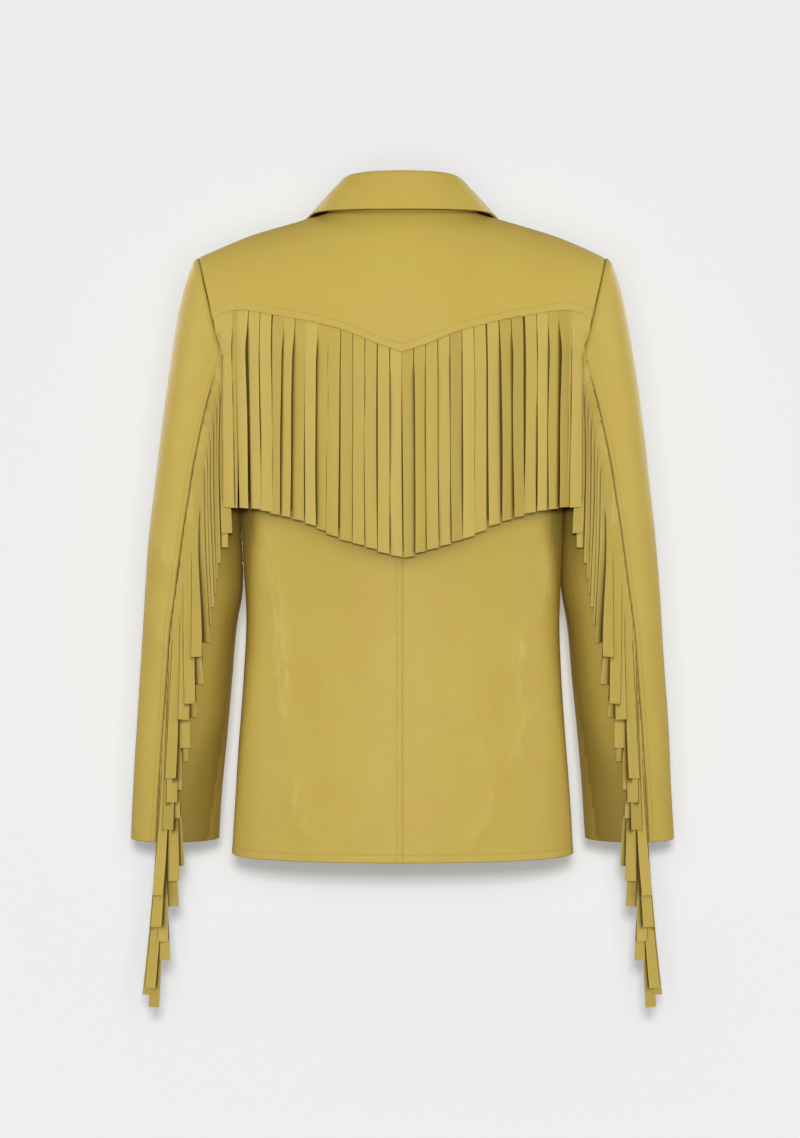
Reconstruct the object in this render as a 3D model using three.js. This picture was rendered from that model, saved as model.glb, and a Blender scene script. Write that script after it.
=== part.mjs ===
// A leather blazer with a fringed back yoke and fringed sleeve seams, filled out as when it is worn.
//
// Millimetres, +Z up. The front faces -Y, the back +Y, and +X is the wearer's left.
// The origin is midway between the two points where the shoulder seams meet the collar: the
// wearer's neck stands there, and the shoulders carry the garment.
//
// Every piece of leather is a wall of even thickness on one common form. The form has level rings
// from the hem to the armholes' middle, and above that arches that run over the shoulders.

import * as THREE from "three";

// ------------------------------------------------------------------ driving sizes

const WALL = 1.6; // leather with its backing
const GAP = 0.3; // between two pieces at a seam
const SHOULDER_HALF = 210.6; // centre back to the shoulder tip
const HEM_Z = -664;
const CUFF_Z = -652;
const SQUARENESS = 2.3; // power of the body's rings: 2 is an ellipse, more is squarer
const LEATHER = 0xc4ae56;

// Armhole: an upright oval, seen from the side. Its middle is also where the arches start.
const ARMHOLE = { middleZ: -155, rise: 109, back: 60, front: 64 };
const UNDERARM_Z = ARMHOLE.middleZ - ARMHOLE.rise;
// Every piece sewn to the armhole has a point at each of these steps round it, so seams match.
const ARMHOLE_STEP = 15; // degrees

// Neckline, seen from above, and the corner where the lapel's roll line leaves it.
const NECK = { half: 78, back: 70 };
const ROLL_TOP = { x: 62, z: -70, degrees: 60 }; // degrees short of the shoulder seam
const BREAK = { x: 20, z: -335 }; // the roll line ends on the front edge, past the centre front
const FRONT_EDGE = BREAK.x;

// Level rings of the body: half width, and how deep the back and the front are.
const BODY = [
  { z: HEM_Z, half: 176.3, back: 104, front: 109 },
  { z: -600, half: 173.2, back: 100, front: 106 },
  { z: -540, half: 169.0, back: 96, front: 104 },
  { z: -480, half: 164.6, back: 93, front: 103 },
  { z: -422, half: 162.2, back: 91.5, front: 104 },
  { z: -360, half: 165.0, back: 94, front: 110 },
  { z: -310, half: 167.6, back: 98.5, front: 116.5 },
  { z: UNDERARM_Z, half: 169.0, back: 102, front: 119 },
  { z: ARMHOLE.middleZ, half: 169.0, back: 107, front: 113 },
];

// How far out the armhole's edge stands, from its bottom (height -1) to its top (height 1).
const ARMHOLE_EDGE = [
  { height: -1, back: 169, front: 169 },
  { height: -0.55, back: 171, front: 168.5 },
  { height: -0.25, back: 174.5, front: 170.5 },
  { height: 0, back: 180.5, front: 175.5 },
  { height: 0.2, back: 188, front: 182 },
  { height: 0.38, back: 193.5, front: 188.5 },
  { height: 0.59, back: 199.5, front: 196.5 },
  { height: 1, back: SHOULDER_HALF, front: SHOULDER_HALF },
];

// The shoulder line, from the shoulder tip up to the neck. Inside the neck it only shapes the arches.
const SHOULDER_LINE = [
  { x: 0, z: 41.4 },
  { x: 8, z: 41 },
  { x: 20, z: 37.6 },
  { x: 40, z: 27 },
  { x: NECK.half, z: 0.5 },
  { x: 100, z: -6.3 },
  { x: 125, z: -13.8 },
  { x: 158, z: -23.7 },
  { x: 191, z: -37 },
  { x: SHOULDER_HALF, z: ARMHOLE.middleZ + ARMHOLE.rise },
];

// The pointed lower edge of the back yoke, from the centre back to the armhole.
const YOKE_SEAM = [
  { x: 0, z: -152.2 },
  { x: 26, z: -143.5 },
  { x: 54, z: -131.6 },
  { x: 78, z: -124.9 },
  { x: 98, z: -119.7 },
  { x: 128, z: -113.6 },
  { x: 152, z: -108.6 },
  { x: 169, z: -107.0 },
  { x: 183, z: -110.0 },
  { x: 193, z: -115.0 },
];

// Level rings of a sleeve: outer and inner side, middle (y) and half depth.
const SLEEVE = [
  { z: CUFF_Z, outer: 285.5, inner: 192.6, y: -31, depth: 50 },
  { z: -600, outer: 282.4, inner: 188.9, y: -26, depth: 51 },
  { z: -540, outer: 278.7, inner: 183.2, y: -20, depth: 53 },
  { z: -480, outer: 274.2, inner: 177.2, y: -15, depth: 55 },
  { z: -430, outer: 270.8, inner: 172.6, y: -11, depth: 56.5 },
  { z: -385, outer: 267.6, inner: 165.4, y: -8, depth: 58 },
  { z: -330, outer: 262.7, inner: 167.2, y: -5, depth: 60 },
  { z: -285, outer: 257.7, inner: 169.6, y: -4, depth: 61 },
];
const TUBE_TOP_Z = SLEEVE[SLEEVE.length - 1].z;

// The sleeve's seams, in degrees round it: 0 is the outer side, 90 the back, 270 the front.
const ELBOW_SEAM = [
  { z: CUFF_Z, angle: 71 },
  { z: -500, angle: 71.5 },
  { z: -400, angle: 73.2 },
  { z: -330, angle: 80.6 },
  { z: -285, angle: 87.6 },
  { z: -240, angle: 91 },
  { z: ARMHOLE.middleZ, angle: 90 },
];
const FRONT_SEAM = [
  { z: CUFF_Z, angle: -110 },
  { z: -285, angle: -112 },
  { z: -220, angle: -117 },
  { z: ARMHOLE.middleZ, angle: -120 },
];

// Collar sections from the centre back round to the notch: its fold and its free edge.
const COLLAR = [
  { turn: 0, foldX: 0, foldY: 66, foldZ: 33, edgeX: 0, edgeY: 85, edgeZ: -6 },
  { turn: 30, foldX: 33, foldY: 57.5, foldZ: 33, edgeX: 47, edgeY: 75, edgeZ: -5 },
  { turn: 60, foldX: 55, foldY: 35, foldZ: 32.5, edgeX: 80, edgeY: 46, edgeZ: -3 },
  { turn: 90, foldX: 61.5, foldY: 3, foldZ: 30, edgeX: 96, edgeY: 2, edgeZ: -2.5 },
  { turn: 120, foldX: 66, foldY: -32, foldZ: 19, edgeX: 107, edgeY: -38, edgeZ: -13 },
  { turn: 150, foldX: 64, foldY: -68, foldZ: -15, edgeX: 110, edgeY: -62, edgeZ: -32 },
];
const COLLAR_FOLD_END = { x: 58, z: -65 };
const COLLAR_POINT = { x: 112, z: -57 };
const LAPEL_POINT = { x: 124, z: -87 };
// The seam between collar and lapel ends at the notch, this far above the straight line from the
// roll line to the lapel's point, and below the one to the collar's point.
const NOTCH_LIFT = { lapel: 5, collar: -10.5 };

// The yoke fringe hangs from just above the yoke's seam to its tips.
const YOKE_FRINGE = { wall: 2.6, off: 1.5, halfTop: 192, halfTip: 179.5 };
const YOKE_TIPS = [
  { x: 0, z: -358 },
  { x: 13, z: -354.5 },
  { x: 38, z: -346.5 },
  { x: 63, z: -338 },
  { x: 88, z: -326 },
  { x: 113, z: -317 },
  { x: 138, z: -311 },
  { x: 185, z: -304.5 },
];

// The sleeve fringe's reach: its two sides at each level, seen from behind.
const SLEEVE_FRINGE = [
  { z: -823, outer: 258, inner: 251.5 },
  { z: -800, outer: 261, inner: 247 },
  { z: -776, outer: 260, inner: 238.5 },
  { z: -720, outer: 257, inner: 231 },
  { z: -677, outer: 255.4, inner: 226 },
  { z: CUFF_Z, outer: 253.6, inner: 225.5 },
  { z: -610, outer: 251, inner: 223.5 },
  { z: -568, outer: 248.3, inner: 220.5 },
  { z: -504, outer: 244, inner: 207.5 },
  { z: -445, outer: 240, inner: 199 },
  { z: -384, outer: 230.4, inner: 191.5 },
  { z: -348, outer: 225.5, inner: 182.5 },
  { z: -322, outer: 221.5, inner: 181 },
  { z: -298, outer: 218, inner: 183 },
  { z: -262, outer: 211.5, inner: 186 },
  { z: -220, outer: 203.6, inner: 187.5 },
  { z: -172, outer: 192.5, inner: 186.5 },
];
// How far off the sleeve its two faces are: strands that hang from higher up lie over the rest.
const SLEEVE_FRINGE_WALL = { from: 1, toAtTop: 4.1, toBelow: 11.5, topZ: -190, belowZ: -350 };

const BUTTON = { radius: 11.5, height: 4, dish: 1, z: -347 };

// ------------------------------------------------------------------ small tools

const radians = THREE.MathUtils.degToRad;
const lerp = THREE.MathUtils.lerp;
const smooth = THREE.MathUtils.smoothstep;

// A smooth curve through one column of a table, read at any value of its key column.
function through(table, key, column) {
  const rows = [...table].sort((a, b) => a[key] - b[key]);
  const x = rows.map((row) => row[key]);
  const y = rows.map((row) => row[column]);
  const last = x.length - 1;
  const slope = x.map((_, i) => {
    const before = Math.max(i - 1, 0);
    const after = Math.min(i + 1, last);
    return (y[after] - y[before]) / (x[after] - x[before]);
  });
  return (at) => {
    let i = 0;
    while (i < last - 1 && at > x[i + 1]) i += 1;
    const width = x[i + 1] - x[i];
    const t = THREE.MathUtils.clamp((at - x[i]) / width, 0, 1);
    const t2 = t * t;
    const t3 = t2 * t;
    return (
      y[i] * (2 * t3 - 3 * t2 + 1) +
      y[i + 1] * (3 * t2 - 2 * t3) +
      slope[i] * width * (t3 - 2 * t2 + t) +
      slope[i + 1] * width * (t3 - t2)
    );
  };
}

// Even steps from a to b.
const steps = (a, b, count) =>
  Array.from({ length: count + 1 }, (_, i) => lerp(a, b, i / count));

// A value between the rows of a list, at a share of the way along it.
function rowAt(rows, share) {
  const place = share * (rows.length - 1);
  const i = Math.min(Math.floor(place), rows.length - 2);
  return lerp(rows[i], rows[i + 1], place - i);
}

// The outward normal of a surface (u, v) => Vector3, by small steps. At an edge it is the normal
// a little way in from the edge, where the surface is never pinched.
function normalOf(surface, u, v, facing) {
  const h = 1e-3;
  const [s, t] = [u, v].map((value) => THREE.MathUtils.clamp(value, 0.01, 0.99));
  const along = surface(s + h, t).sub(surface(s - h, t));
  const down = surface(s, t + h).sub(surface(s, t - h));
  return along.cross(down).normalize().multiplyScalar(facing);
}

// A closed wall on a surface over the given u and v values. facing is 1 or -1, whichever makes
// u cross v point out of the garment; from and to are how far the wall's two faces stand out,
// and to may be a function of v.
function wallOn(surface, us, vs, facing, from = -WALL, to = 0) {
  const columns = us.length;
  const outer = typeof to === "function" ? to : () => to;
  const faces = [outer, () => from].map((offset) =>
    us.flatMap((u) =>
      vs.map((v) => surface(u, v).addScaledVector(normalOf(surface, u, v, facing), offset(v))),
    ),
  );
  const points = faces.flat();
  const at = (layer, i, j) => layer * faces[0].length + i * vs.length + j;
  const index = [];
  const quad = (a, b, c, d) => index.push(a, b, c, a, c, d);
  for (let i = 0; i < columns - 1; i += 1) {
    for (let j = 0; j < vs.length - 1; j += 1) {
      quad(at(0, i, j), at(0, i + 1, j), at(0, i + 1, j + 1), at(0, i, j + 1));
      quad(at(1, i, j), at(1, i, j + 1), at(1, i + 1, j + 1), at(1, i + 1, j));
    }
    const end = vs.length - 1;
    quad(at(0, i, 0), at(1, i, 0), at(1, i + 1, 0), at(0, i + 1, 0));
    quad(at(0, i, end), at(0, i + 1, end), at(1, i + 1, end), at(1, i, end));
  }
  for (let j = 0; j < vs.length - 1; j += 1) {
    const end = columns - 1;
    quad(at(0, 0, j), at(0, 0, j + 1), at(1, 0, j + 1), at(1, 0, j));
    quad(at(0, end, j), at(1, end, j), at(1, end, j + 1), at(0, end, j + 1));
  }
  if (facing < 0) index.reverse();
  const geometry = new THREE.BufferGeometry().setFromPoints(points);
  geometry.setIndex(index);
  return geometry;
}

// ------------------------------------------------------------------ the body's form

const power = (value, exponent) => Math.max(value, 0) ** exponent;
const shoulderZ = through(SHOULDER_LINE, "x", "z");
const yokeSeamZ = through(YOKE_SEAM, "x", "z");
const bodyHalf = through(BODY, "z", "half");

// One face of the body, the back or the front. A place on it is given by c, the share of the way
// from the centre line (0) to the side seam or armhole (1), negative past the centre line, and by
// its level z, or above the armhole's middle by how many degrees short of the shoulder seam it is.
class Face {
  constructor(side, direction) {
    this.direction = direction;
    this.armholeDepth = ARMHOLE[side];
    this.depth = through(BODY, "z", side);
    this.armholeX = through(ARMHOLE_EDGE, "height", side);
    this.middle = this.ring(ARMHOLE.middleZ);
  }

  // The ring at a level: its half width, depth, and the angle where the panel ends.
  ring(z) {
    const depth = this.depth(z);
    if (z <= UNDERARM_Z) return { half: bodyHalf(z), depth, end: Math.PI / 2 };
    const height = (z - ARMHOLE.middleZ) / ARMHOLE.rise;
    const edgeX = this.armholeX(height);
    const edgeY = this.armholeDepth * Math.sqrt(1 - height * height);
    const share = power(1 - power(edgeY / depth, SQUARENESS), 1 / SQUARENESS);
    return { half: edgeX / share, depth, end: Math.asin(power(share, SQUARENESS / 2)) };
  }

  // The point at share c of a ring.
  onRing(ring, c) {
    const angle = Math.abs(c) * ring.end;
    const x = ring.half * power(Math.sin(angle), 2 / SQUARENESS);
    const y = ring.depth * power(Math.cos(angle), 2 / SQUARENESS);
    return { x: x * (Math.sign(c) || 1), y: y * this.direction };
  }

  // The share c that a place x has on a ring.
  shareOf(ring, x) {
    const share = power(Math.min(Math.abs(x) / ring.half, 1), SQUARENESS / 2);
    return (Math.asin(share) / ring.end) * Math.sign(x);
  }

  // A point on the arch over the shoulder, at share c, degrees short of the shoulder seam.
  over(c, degrees) {
    const start = this.onRing(this.middle, c);
    const rise = Math.cos(radians(degrees));
    const across = start.x / this.armholeX(0);
    const top = shoulderZ(Math.abs(across) * SHOULDER_HALF);
    return new THREE.Vector3(
      across * this.armholeX(rise),
      start.y * Math.sin(radians(degrees)),
      lerp(ARMHOLE.middleZ, top, rise),
    );
  }

  // The degrees short of the shoulder seam at which share c passes a level.
  degreesAt(c, z) {
    const start = this.onRing(this.middle, c);
    const top = shoulderZ((Math.abs(start.x) / this.armholeX(0)) * SHOULDER_HALF);
    const rise = (z - ARMHOLE.middleZ) / (top - ARMHOLE.middleZ);
    return THREE.MathUtils.radToDeg(Math.acos(THREE.MathUtils.clamp(rise, 0, 1)));
  }

  // The point at share c and level z, anywhere from the hem up.
  at(c, z) {
    if (z > ARMHOLE.middleZ) return this.over(c, this.degreesAt(c, z));
    const { x, y } = this.onRing(this.ring(z), c);
    return new THREE.Vector3(x, y, z);
  }

  // The share c of a place x at a level z.
  shareAt(x, z) {
    if (z <= ARMHOLE.middleZ) return this.shareOf(this.ring(z), x);
    let across = x / this.armholeX(0.5);
    for (let round = 0; round < 8; round += 1) {
      const top = shoulderZ(Math.abs(across) * SHOULDER_HALF);
      across = x / this.armholeX((z - ARMHOLE.middleZ) / (top - ARMHOLE.middleZ));
    }
    return this.shareOf(this.middle, across * this.armholeX(0));
  }

  // The point of this face that is seen at (x, z) from straight in front of it.
  facing(x, z) {
    return this.at(this.shareAt(x, z), z);
  }
}

const back = new Face("back", 1);
const front = new Face("front", -1);

// ------------------------------------------------------------------ back yoke and back panels

const SEAM_SHARE = GAP / 2 / 170; // half a seam gap, as a share of the body's half width
const SHOULDER_SEAM = 0.15; // degrees: half the gap at the shoulder seam

// The highest place of the back at share c: the neckline, or else the shoulder seam.
function backTop(c) {
  const outside = (degrees) => {
    const p = back.over(c, degrees);
    return (p.x / NECK.half) ** 2 + (p.y / NECK.back) ** 2 > 1;
  };
  if (outside(SHOULDER_SEAM)) return SHOULDER_SEAM;
  let [inner, outer] = [SHOULDER_SEAM, 90];
  for (let round = 0; round < 30; round += 1) {
    const middle = (inner + outer) / 2;
    if (outside(middle)) outer = middle;
    else inner = middle;
  }
  return outer;
}

// The level of the yoke's lower seam at share c.
function yokeSeamAt(c) {
  let z = ARMHOLE.middleZ;
  for (let round = 0; round < 12; round += 1) z = yokeSeamZ(Math.abs(back.at(c, z).x));
  return z;
}

// Rows of the yoke, as degrees short of the shoulder seam at the armhole, under the seam's own row.
const YOKE_DEGREES = [60, 45, 30, 15, SHOULDER_SEAM];
const yokeEnd = back.degreesAt(1, yokeSeamAt(1));

// u runs from the right armhole to the left, v from the seam to the shoulders and the neck.
function yokeSurface(u, v) {
  const c = lerp(-1, 1, u);
  const bottom = back.degreesAt(c, yokeSeamAt(c) + GAP / 2);
  const place = rowAt([yokeEnd, ...YOKE_DEGREES], v);
  const share = (place - SHOULDER_SEAM) / (yokeEnd - SHOULDER_SEAM);
  return back.over(c, lerp(backTop(c), bottom, share));
}

// Columns of the yoke: inside the neckline they match the collar's, at these turns round the neck.
const NECK_TURNS = [0, 18, 36, 54, 72, 90];
const neckShare = back.shareOf(back.middle, (NECK.half / SHOULDER_HALF) * back.armholeX(0));
const shareAtTurn = (turn) => neckShare * Math.sin(radians(turn)) ** 0.9;
const halfColumns = [...NECK_TURNS.map(shareAtTurn), ...steps(neckShare, 1, 5).slice(1)];
const yokeColumns = [
  ...halfColumns.slice(1).reverse().map((c) => (1 - c) / 2),
  ...halfColumns.map((c) => (1 + c) / 2),
];

// The levels of the armhole's steps, from its middle down to the underarm.
const LOWER_ARMHOLE = steps(90, 180, 90 / ARMHOLE_STEP).map(
  (degrees) => ARMHOLE.middleZ + ARMHOLE.rise * Math.cos(radians(degrees)),
);

// Rows of a back panel under its top edge.
const BACK_ROWS = [...LOWER_ARMHOLE, -305, -345, -385, -425, -475, -530, -585, -630, HEM_Z];

// u runs from the centre back to the side, v from the yoke to the hem.
function backPanelSurface(mirror) {
  return (u, v) => {
    const c = THREE.MathUtils.clamp(u, SEAM_SHARE, 1);
    const p = back.at(c, rowAt([yokeSeamAt(c) - GAP / 2, ...BACK_ROWS], v));
    return p.setX(p.x * mirror);
  };
}

// ------------------------------------------------------------------ fronts

// Rows of a front: levels up to the armhole's middle, then degrees short of the shoulder seam.
const FRONT_LEVELS = [
  ...[HEM_Z, -625, -580, -530, -480, -430, -382, BREAK.z, -298],
  ...[...LOWER_ARMHOLE].reverse(),
];
const FRONT_DEGREES = [90, 75, 60, 45, 30, 15, SHOULDER_SEAM];
const LOWER_ROWS = FRONT_LEVELS.length - 1;
const FRONT_ROWS = LOWER_ROWS + FRONT_DEGREES.length - 1;

// The roll line of a front, seen from in front.
const rollX = (z) => lerp(ROLL_TOP.x, -BREAK.x, (z - ROLL_TOP.z) / (BREAK.z - ROLL_TOP.z));

// The share c of the front's inner edge in a row: front edge, roll line, then neckline.
const rollShare = (z) => front.shareAt(rollX(z), z);
const neckShareFront = front.shareOf(front.middle, (NECK.half / SHOULDER_HALF) * front.armholeX(0));
function frontEdgeShare(row) {
  if (row.degrees === undefined) {
    return row.z < BREAK.z ? front.shareAt(-FRONT_EDGE, row.z) : rollShare(row.z);
  }
  if (row.degrees < ROLL_TOP.degrees) {
    return lerp(neckShareFront, rollShare(ROLL_TOP.z), (row.degrees / ROLL_TOP.degrees) ** 1.5);
  }
  let z = ROLL_TOP.z;
  for (let round = 0; round < 12; round += 1) z = front.over(rollShare(z), row.degrees).z;
  return rollShare(z);
}

// A row of the front by its place from the hem (0) to the shoulder (1).
function frontRow(v) {
  const place = v * FRONT_ROWS;
  if (place < LOWER_ROWS) return { z: rowAt(FRONT_LEVELS, place / LOWER_ROWS) };
  return { degrees: rowAt(FRONT_DEGREES, (place - LOWER_ROWS) / (FRONT_ROWS - LOWER_ROWS)) };
}

// How far the right front stands out where it lies on the left front and its lapel: a little at
// the hem, more between the lapels' ends, and nothing at the neck or away from the centre.
const LAPEL_CLEAR = 1.5; // between the lapel and the two faces of the front it folds over
const LAP = { full: 3 * WALL + 3 * LAPEL_CLEAR, low: WALL + 1.4 };
function lapAt(x, z, mirror) {
  if (mirror > 0) return 0;
  const high = LAP.full * smooth(-z, 130, 262);
  return lerp(high, LAP.low, smooth(-z, 352, 420)) * smooth(-x, -70, -24);
}

// A place of a front seen from in front, with the right one standing out over the left.
function frontPlace(x, z, mirror) {
  const p = front.facing(x, z);
  p.y -= lapAt(x, z, mirror);
  return p;
}

// u runs from the inner edge to the side, v from the hem to the shoulder. The right front is the
// mirrored one, and it buttons over the left.
function frontSurface(mirror) {
  return (u, v) => {
    const row = frontRow(v);
    const side = row.z < UNDERARM_Z + GAP ? 1 - SEAM_SHARE * 2 : 1;
    const c = lerp(frontEdgeShare(row), side, u);
    const p = row.z === undefined ? front.over(c, row.degrees) : front.at(c, row.z);
    p.y -= lapAt(p.x, p.z, mirror);
    return p.setX(p.x * mirror);
  };
}

// ------------------------------------------------------------------ lapels

const LAPEL_RETURN = 9; // how far the lapel's facing turns back inside the front
const LAPEL_BULGE = 1.6; // how far the lapel stands off the front between its fold and its edge
const LAPEL_SWELL = 7; // how far the lapel's edge bows outwards
const LAPEL_COLUMNS = [0, 0.08, 0.16, 0.22, 0.28, 0.34, 0.5, 0.66, 0.82, 1];
const FOLD_FROM = 0.12; // where the turn round the front's edge starts and ends, as shares of v
const FOLD_TO = 0.34;
const NOTCH_SHARE = 0.5; // of the way from the roll line to the lapel's point, or the collar's

// Highest at the notch, and nothing at the roll line and at the point.
const notchShape = (share) =>
  share < NOTCH_SHARE ? share / NOTCH_SHARE : (1 - share) / (1 - NOTCH_SHARE);

// The lapel's free edge at share s of the roll line, from the notch to the break.
function lapelEdge(s) {
  const swell = LAPEL_SWELL * Math.sin(Math.PI * s);
  return {
    x: lerp(LAPEL_POINT.x, -BREAK.x + 6, s) + swell,
    z: lerp(LAPEL_POINT.z, BREAK.z + 4, s) + swell * 0.3,
  };
}

// u runs from the notch to the break, v from inside the front, round its edge, to the free edge.
function lapelSurface(mirror) {
  const outer = LAPEL_CLEAR + WALL / 2;
  const inner = -WALL - LAPEL_CLEAR - WALL / 2;
  const radius = (outer - inner) / 2;
  return (u, v) => {
    const s = lerp(-0.006, 0.985, u);
    const roll = { x: lerp(ROLL_TOP.x, -BREAK.x, s), z: lerp(ROLL_TOP.z, BREAK.z, s) };
    const edge = lapelEdge(s);
    const width = Math.hypot(edge.x - roll.x, edge.z - roll.z);
    const toEdge = { x: (edge.x - roll.x) / width, z: (edge.z - roll.z) / width };
    const turn = THREE.MathUtils.clamp((v - FOLD_FROM) / (FOLD_TO - FOLD_FROM), 0, 1) * Math.PI;
    const wide = Math.min(1, width / 40);
    let reach = GAP - radius * Math.sin(turn);
    let out = (outer + inner) / 2 - radius * Math.cos(turn);
    let lift = 0;
    if (v < FOLD_FROM) reach = lerp(LAPEL_RETURN * wide, GAP, v / FOLD_FROM);
    if (v > FOLD_TO) {
      const share = (v - FOLD_TO) / (1 - FOLD_TO);
      reach = lerp(GAP, width, share);
      out += LAPEL_BULGE * Math.sin(Math.PI * share) * wide;
      lift = NOTCH_LIFT.lapel * notchShape(share) * smooth(-u, -0.25, 0);
    }
    const x = roll.x + toEdge.x * reach;
    const z = roll.z + toEdge.z * reach + lift;
    const h = 0.5;
    const across = frontPlace(x + h, z, mirror).sub(frontPlace(x - h, z, mirror));
    const up = frontPlace(x, z + h, mirror).sub(frontPlace(x, z - h, mirror));
    const p = frontPlace(x, z, mirror).addScaledVector(across.cross(up).normalize(), out);
    return p.setX(p.x * mirror);
  };
}

// ------------------------------------------------------------------ collar

const FOLD_WIDTH = 4.4; // between the stand and the fall, at the fold
const FALL_BOW = 1; // how far the fall rounds outwards
const COLLAR_CLEAR = 2 * GAP; // between the neckline and the foot of the stand
const COLLAR_STAND = 0.3; // shares of v where the stand ends and the fall starts
const COLLAR_FALL = 0.45;
const COLLAR_END = { turn: 168, degrees: 57 }; // turn round the neck, and down the front's neckline
const COLLAR_OFF = 5; // how far the collar's end lies in front of the front

const collarTable = Object.fromEntries(
  ["foldX", "foldY", "foldZ", "edgeX", "edgeY", "edgeZ"].map((column) => {
    const kind = column.slice(0, 4);
    const place = kind === "fold" ? COLLAR_FOLD_END : COLLAR_POINT;
    const point = front.facing(place.x, place.z).add(new THREE.Vector3(0, -COLLAR_OFF, 0));
    const end = { turn: COLLAR_END.turn, [column]: point[column.slice(4).toLowerCase()] };
    return [column, through([...COLLAR, end], "turn", column)];
  }),
);

// The neckline of the body at a turn round the neck: 0 centre back, 90 the shoulder seam.
function necklineAt(turn) {
  if (turn <= 90) {
    const c = shareAtTurn(turn);
    return back.over(c, backTop(c));
  }
  const degrees = (COLLAR_END.degrees * (turn - 90)) / (COLLAR_END.turn - 90);
  return front.over(frontEdgeShare({ degrees }), degrees);
}

// u runs from the right notch round the neck to the left one, v from the neckline up the stand,
// over the fold and down the fall to its free edge.
function collarSurface(u, v) {
  const signed = lerp(-COLLAR_END.turn, COLLAR_END.turn, u);
  const turn = Math.abs(signed);
  const pick = (kind) =>
    new THREE.Vector3(...["X", "Y", "Z"].map((axis) => collarTable[kind + axis](turn)));
  const fold = pick("fold");
  const edge = pick("edge");
  const neck = necklineAt(turn);
  const rise = fold.clone().sub(neck).normalize();
  neck.addScaledVector(rise, COLLAR_CLEAR);
  const fall = edge.clone().sub(fold);
  const out = fall.clone().addScaledVector(rise, -fall.dot(rise)).normalize();
  const half = FOLD_WIDTH / 2;
  const inner = fold.clone().addScaledVector(out, -half);
  const outer = fold.clone().addScaledVector(out, half);
  let p;
  if (v < COLLAR_STAND) p = neck.lerp(inner, v / COLLAR_STAND);
  else if (v < COLLAR_FALL) {
    const turnOver = ((v - COLLAR_STAND) / (COLLAR_FALL - COLLAR_STAND)) * Math.PI;
    p = fold
      .clone()
      .addScaledVector(out, -half * Math.cos(turnOver))
      .addScaledVector(rise, half * Math.sin(turnOver));
  } else {
    const share = (v - COLLAR_FALL) / (1 - COLLAR_FALL);
    p = outer.lerp(edge, share).addScaledVector(out, FALL_BOW * Math.sin(Math.PI * share));
    const drop = NOTCH_LIFT.collar * notchShape(share) * smooth(turn, 146, COLLAR_END.turn);
    p.add(new THREE.Vector3(0, 0.75 * drop, drop)); // down the slope of the chest
  }
  return p.setX(p.x * (Math.sign(signed) || 1));
}

// ------------------------------------------------------------------ sleeves

const ringOf = Object.fromEntries(
  ["outer", "inner", "y", "depth"].map((column) => [column, through(SLEEVE, "z", column)]),
);
const elbowSeamAt = through(ELBOW_SEAM, "z", "angle");
const frontSeamAt = through(FRONT_SEAM, "z", "angle");

// A point of the left sleeve's tube: degrees round it, and its level.
function tube(degrees, z) {
  const middle = (ringOf.outer(z) + ringOf.inner(z)) / 2;
  const half = (ringOf.outer(z) - ringOf.inner(z)) / 2;
  return new THREE.Vector3(
    middle + half * Math.cos(radians(degrees)),
    ringOf.y(z) + ringOf.depth(z) * Math.sin(radians(degrees)),
    z,
  );
}

// A point of the armhole's edge, by the same degrees.
function armhole(degrees) {
  const height = Math.cos(radians(degrees));
  const face = Math.sin(radians(degrees)) >= 0 ? back : front;
  return new THREE.Vector3(
    face.armholeX(height),
    face.armholeDepth * Math.sin(radians(degrees)),
    ARMHOLE.middleZ + ARMHOLE.rise * height,
  );
}

const CAP_START = 0.26; // how strongly the sleeve head leaves the armhole, and joins the tube
const CAP_END = 0.95;

// The sleeve head: a curve from the armhole's edge (t = 0) to the top of the tube (t = 1).
function sleeveHead(degrees, t) {
  const start = armhole(degrees);
  start.x += GAP;
  const end = tube(degrees, TUBE_TOP_Z);
  const span = start.distanceTo(end);
  const turn = radians(degrees);
  const side = Math.sin(turn);
  const leave = new THREE.Vector3(0.95, 0.2 * side, -0.25 - 0.12 * Math.abs(side))
    .normalize()
    .multiplyScalar(span * CAP_START);
  const arrive = tube(degrees, TUBE_TOP_Z - 5)
    .sub(end)
    .normalize()
    .multiplyScalar(span * CAP_END);
  const t2 = t * t;
  const t3 = t2 * t;
  return start
    .multiplyScalar(2 * t3 - 3 * t2 + 1)
    .addScaledVector(leave, t3 - 2 * t2 + t)
    .addScaledVector(end, 3 * t2 - 2 * t3)
    .addScaledVector(arrive, t3 - t2);
}

const HEAD_SHARE = 0.42; // the share of v that the sleeve head takes
const HEAD_STEPS = [0, 0.07, 0.16, 0.28, 0.45, 0.7];
const TUBE_LEVELS = [TUBE_TOP_Z, -330, -385, -440, -500, -560, -610, CUFF_Z];
const SLEEVE_ROWS = [
  ...HEAD_STEPS.map((t) => t * HEAD_SHARE),
  ...TUBE_LEVELS.map((z) => lerp(HEAD_SHARE, 1, (TUBE_TOP_Z - z) / (TUBE_TOP_Z - CUFF_Z))),
];

// A point of the left sleeve at v, from the armhole (0) to the cuff (1).
function sleevePoint(degrees, v) {
  if (v < HEAD_SHARE) return sleeveHead(degrees, v / HEAD_SHARE);
  return tube(degrees, lerp(TUBE_TOP_Z, CUFF_Z, (v - HEAD_SHARE) / (1 - HEAD_SHARE)));
}

// A seam's angle at v.
const seamAngle = (seamAt, v) => seamAt(sleevePoint(90, v).z);

// u runs round the sleeve from one seam to the other, v from the armhole to the cuff.
function sleeveSurface(mirror, piece) {
  const half = 0.2; // degrees: half a seam gap
  return (u, v) => {
    const elbow = seamAngle(elbowSeamAt, v);
    const frontSeam = seamAngle(frontSeamAt, v);
    const [from, to] = piece === "top" ? [frontSeam, elbow] : [elbow, 360 + frontSeam];
    const p = sleevePoint(lerp(from + half, to - half, u), v);
    return p.setX(p.x * mirror);
  };
}

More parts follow.
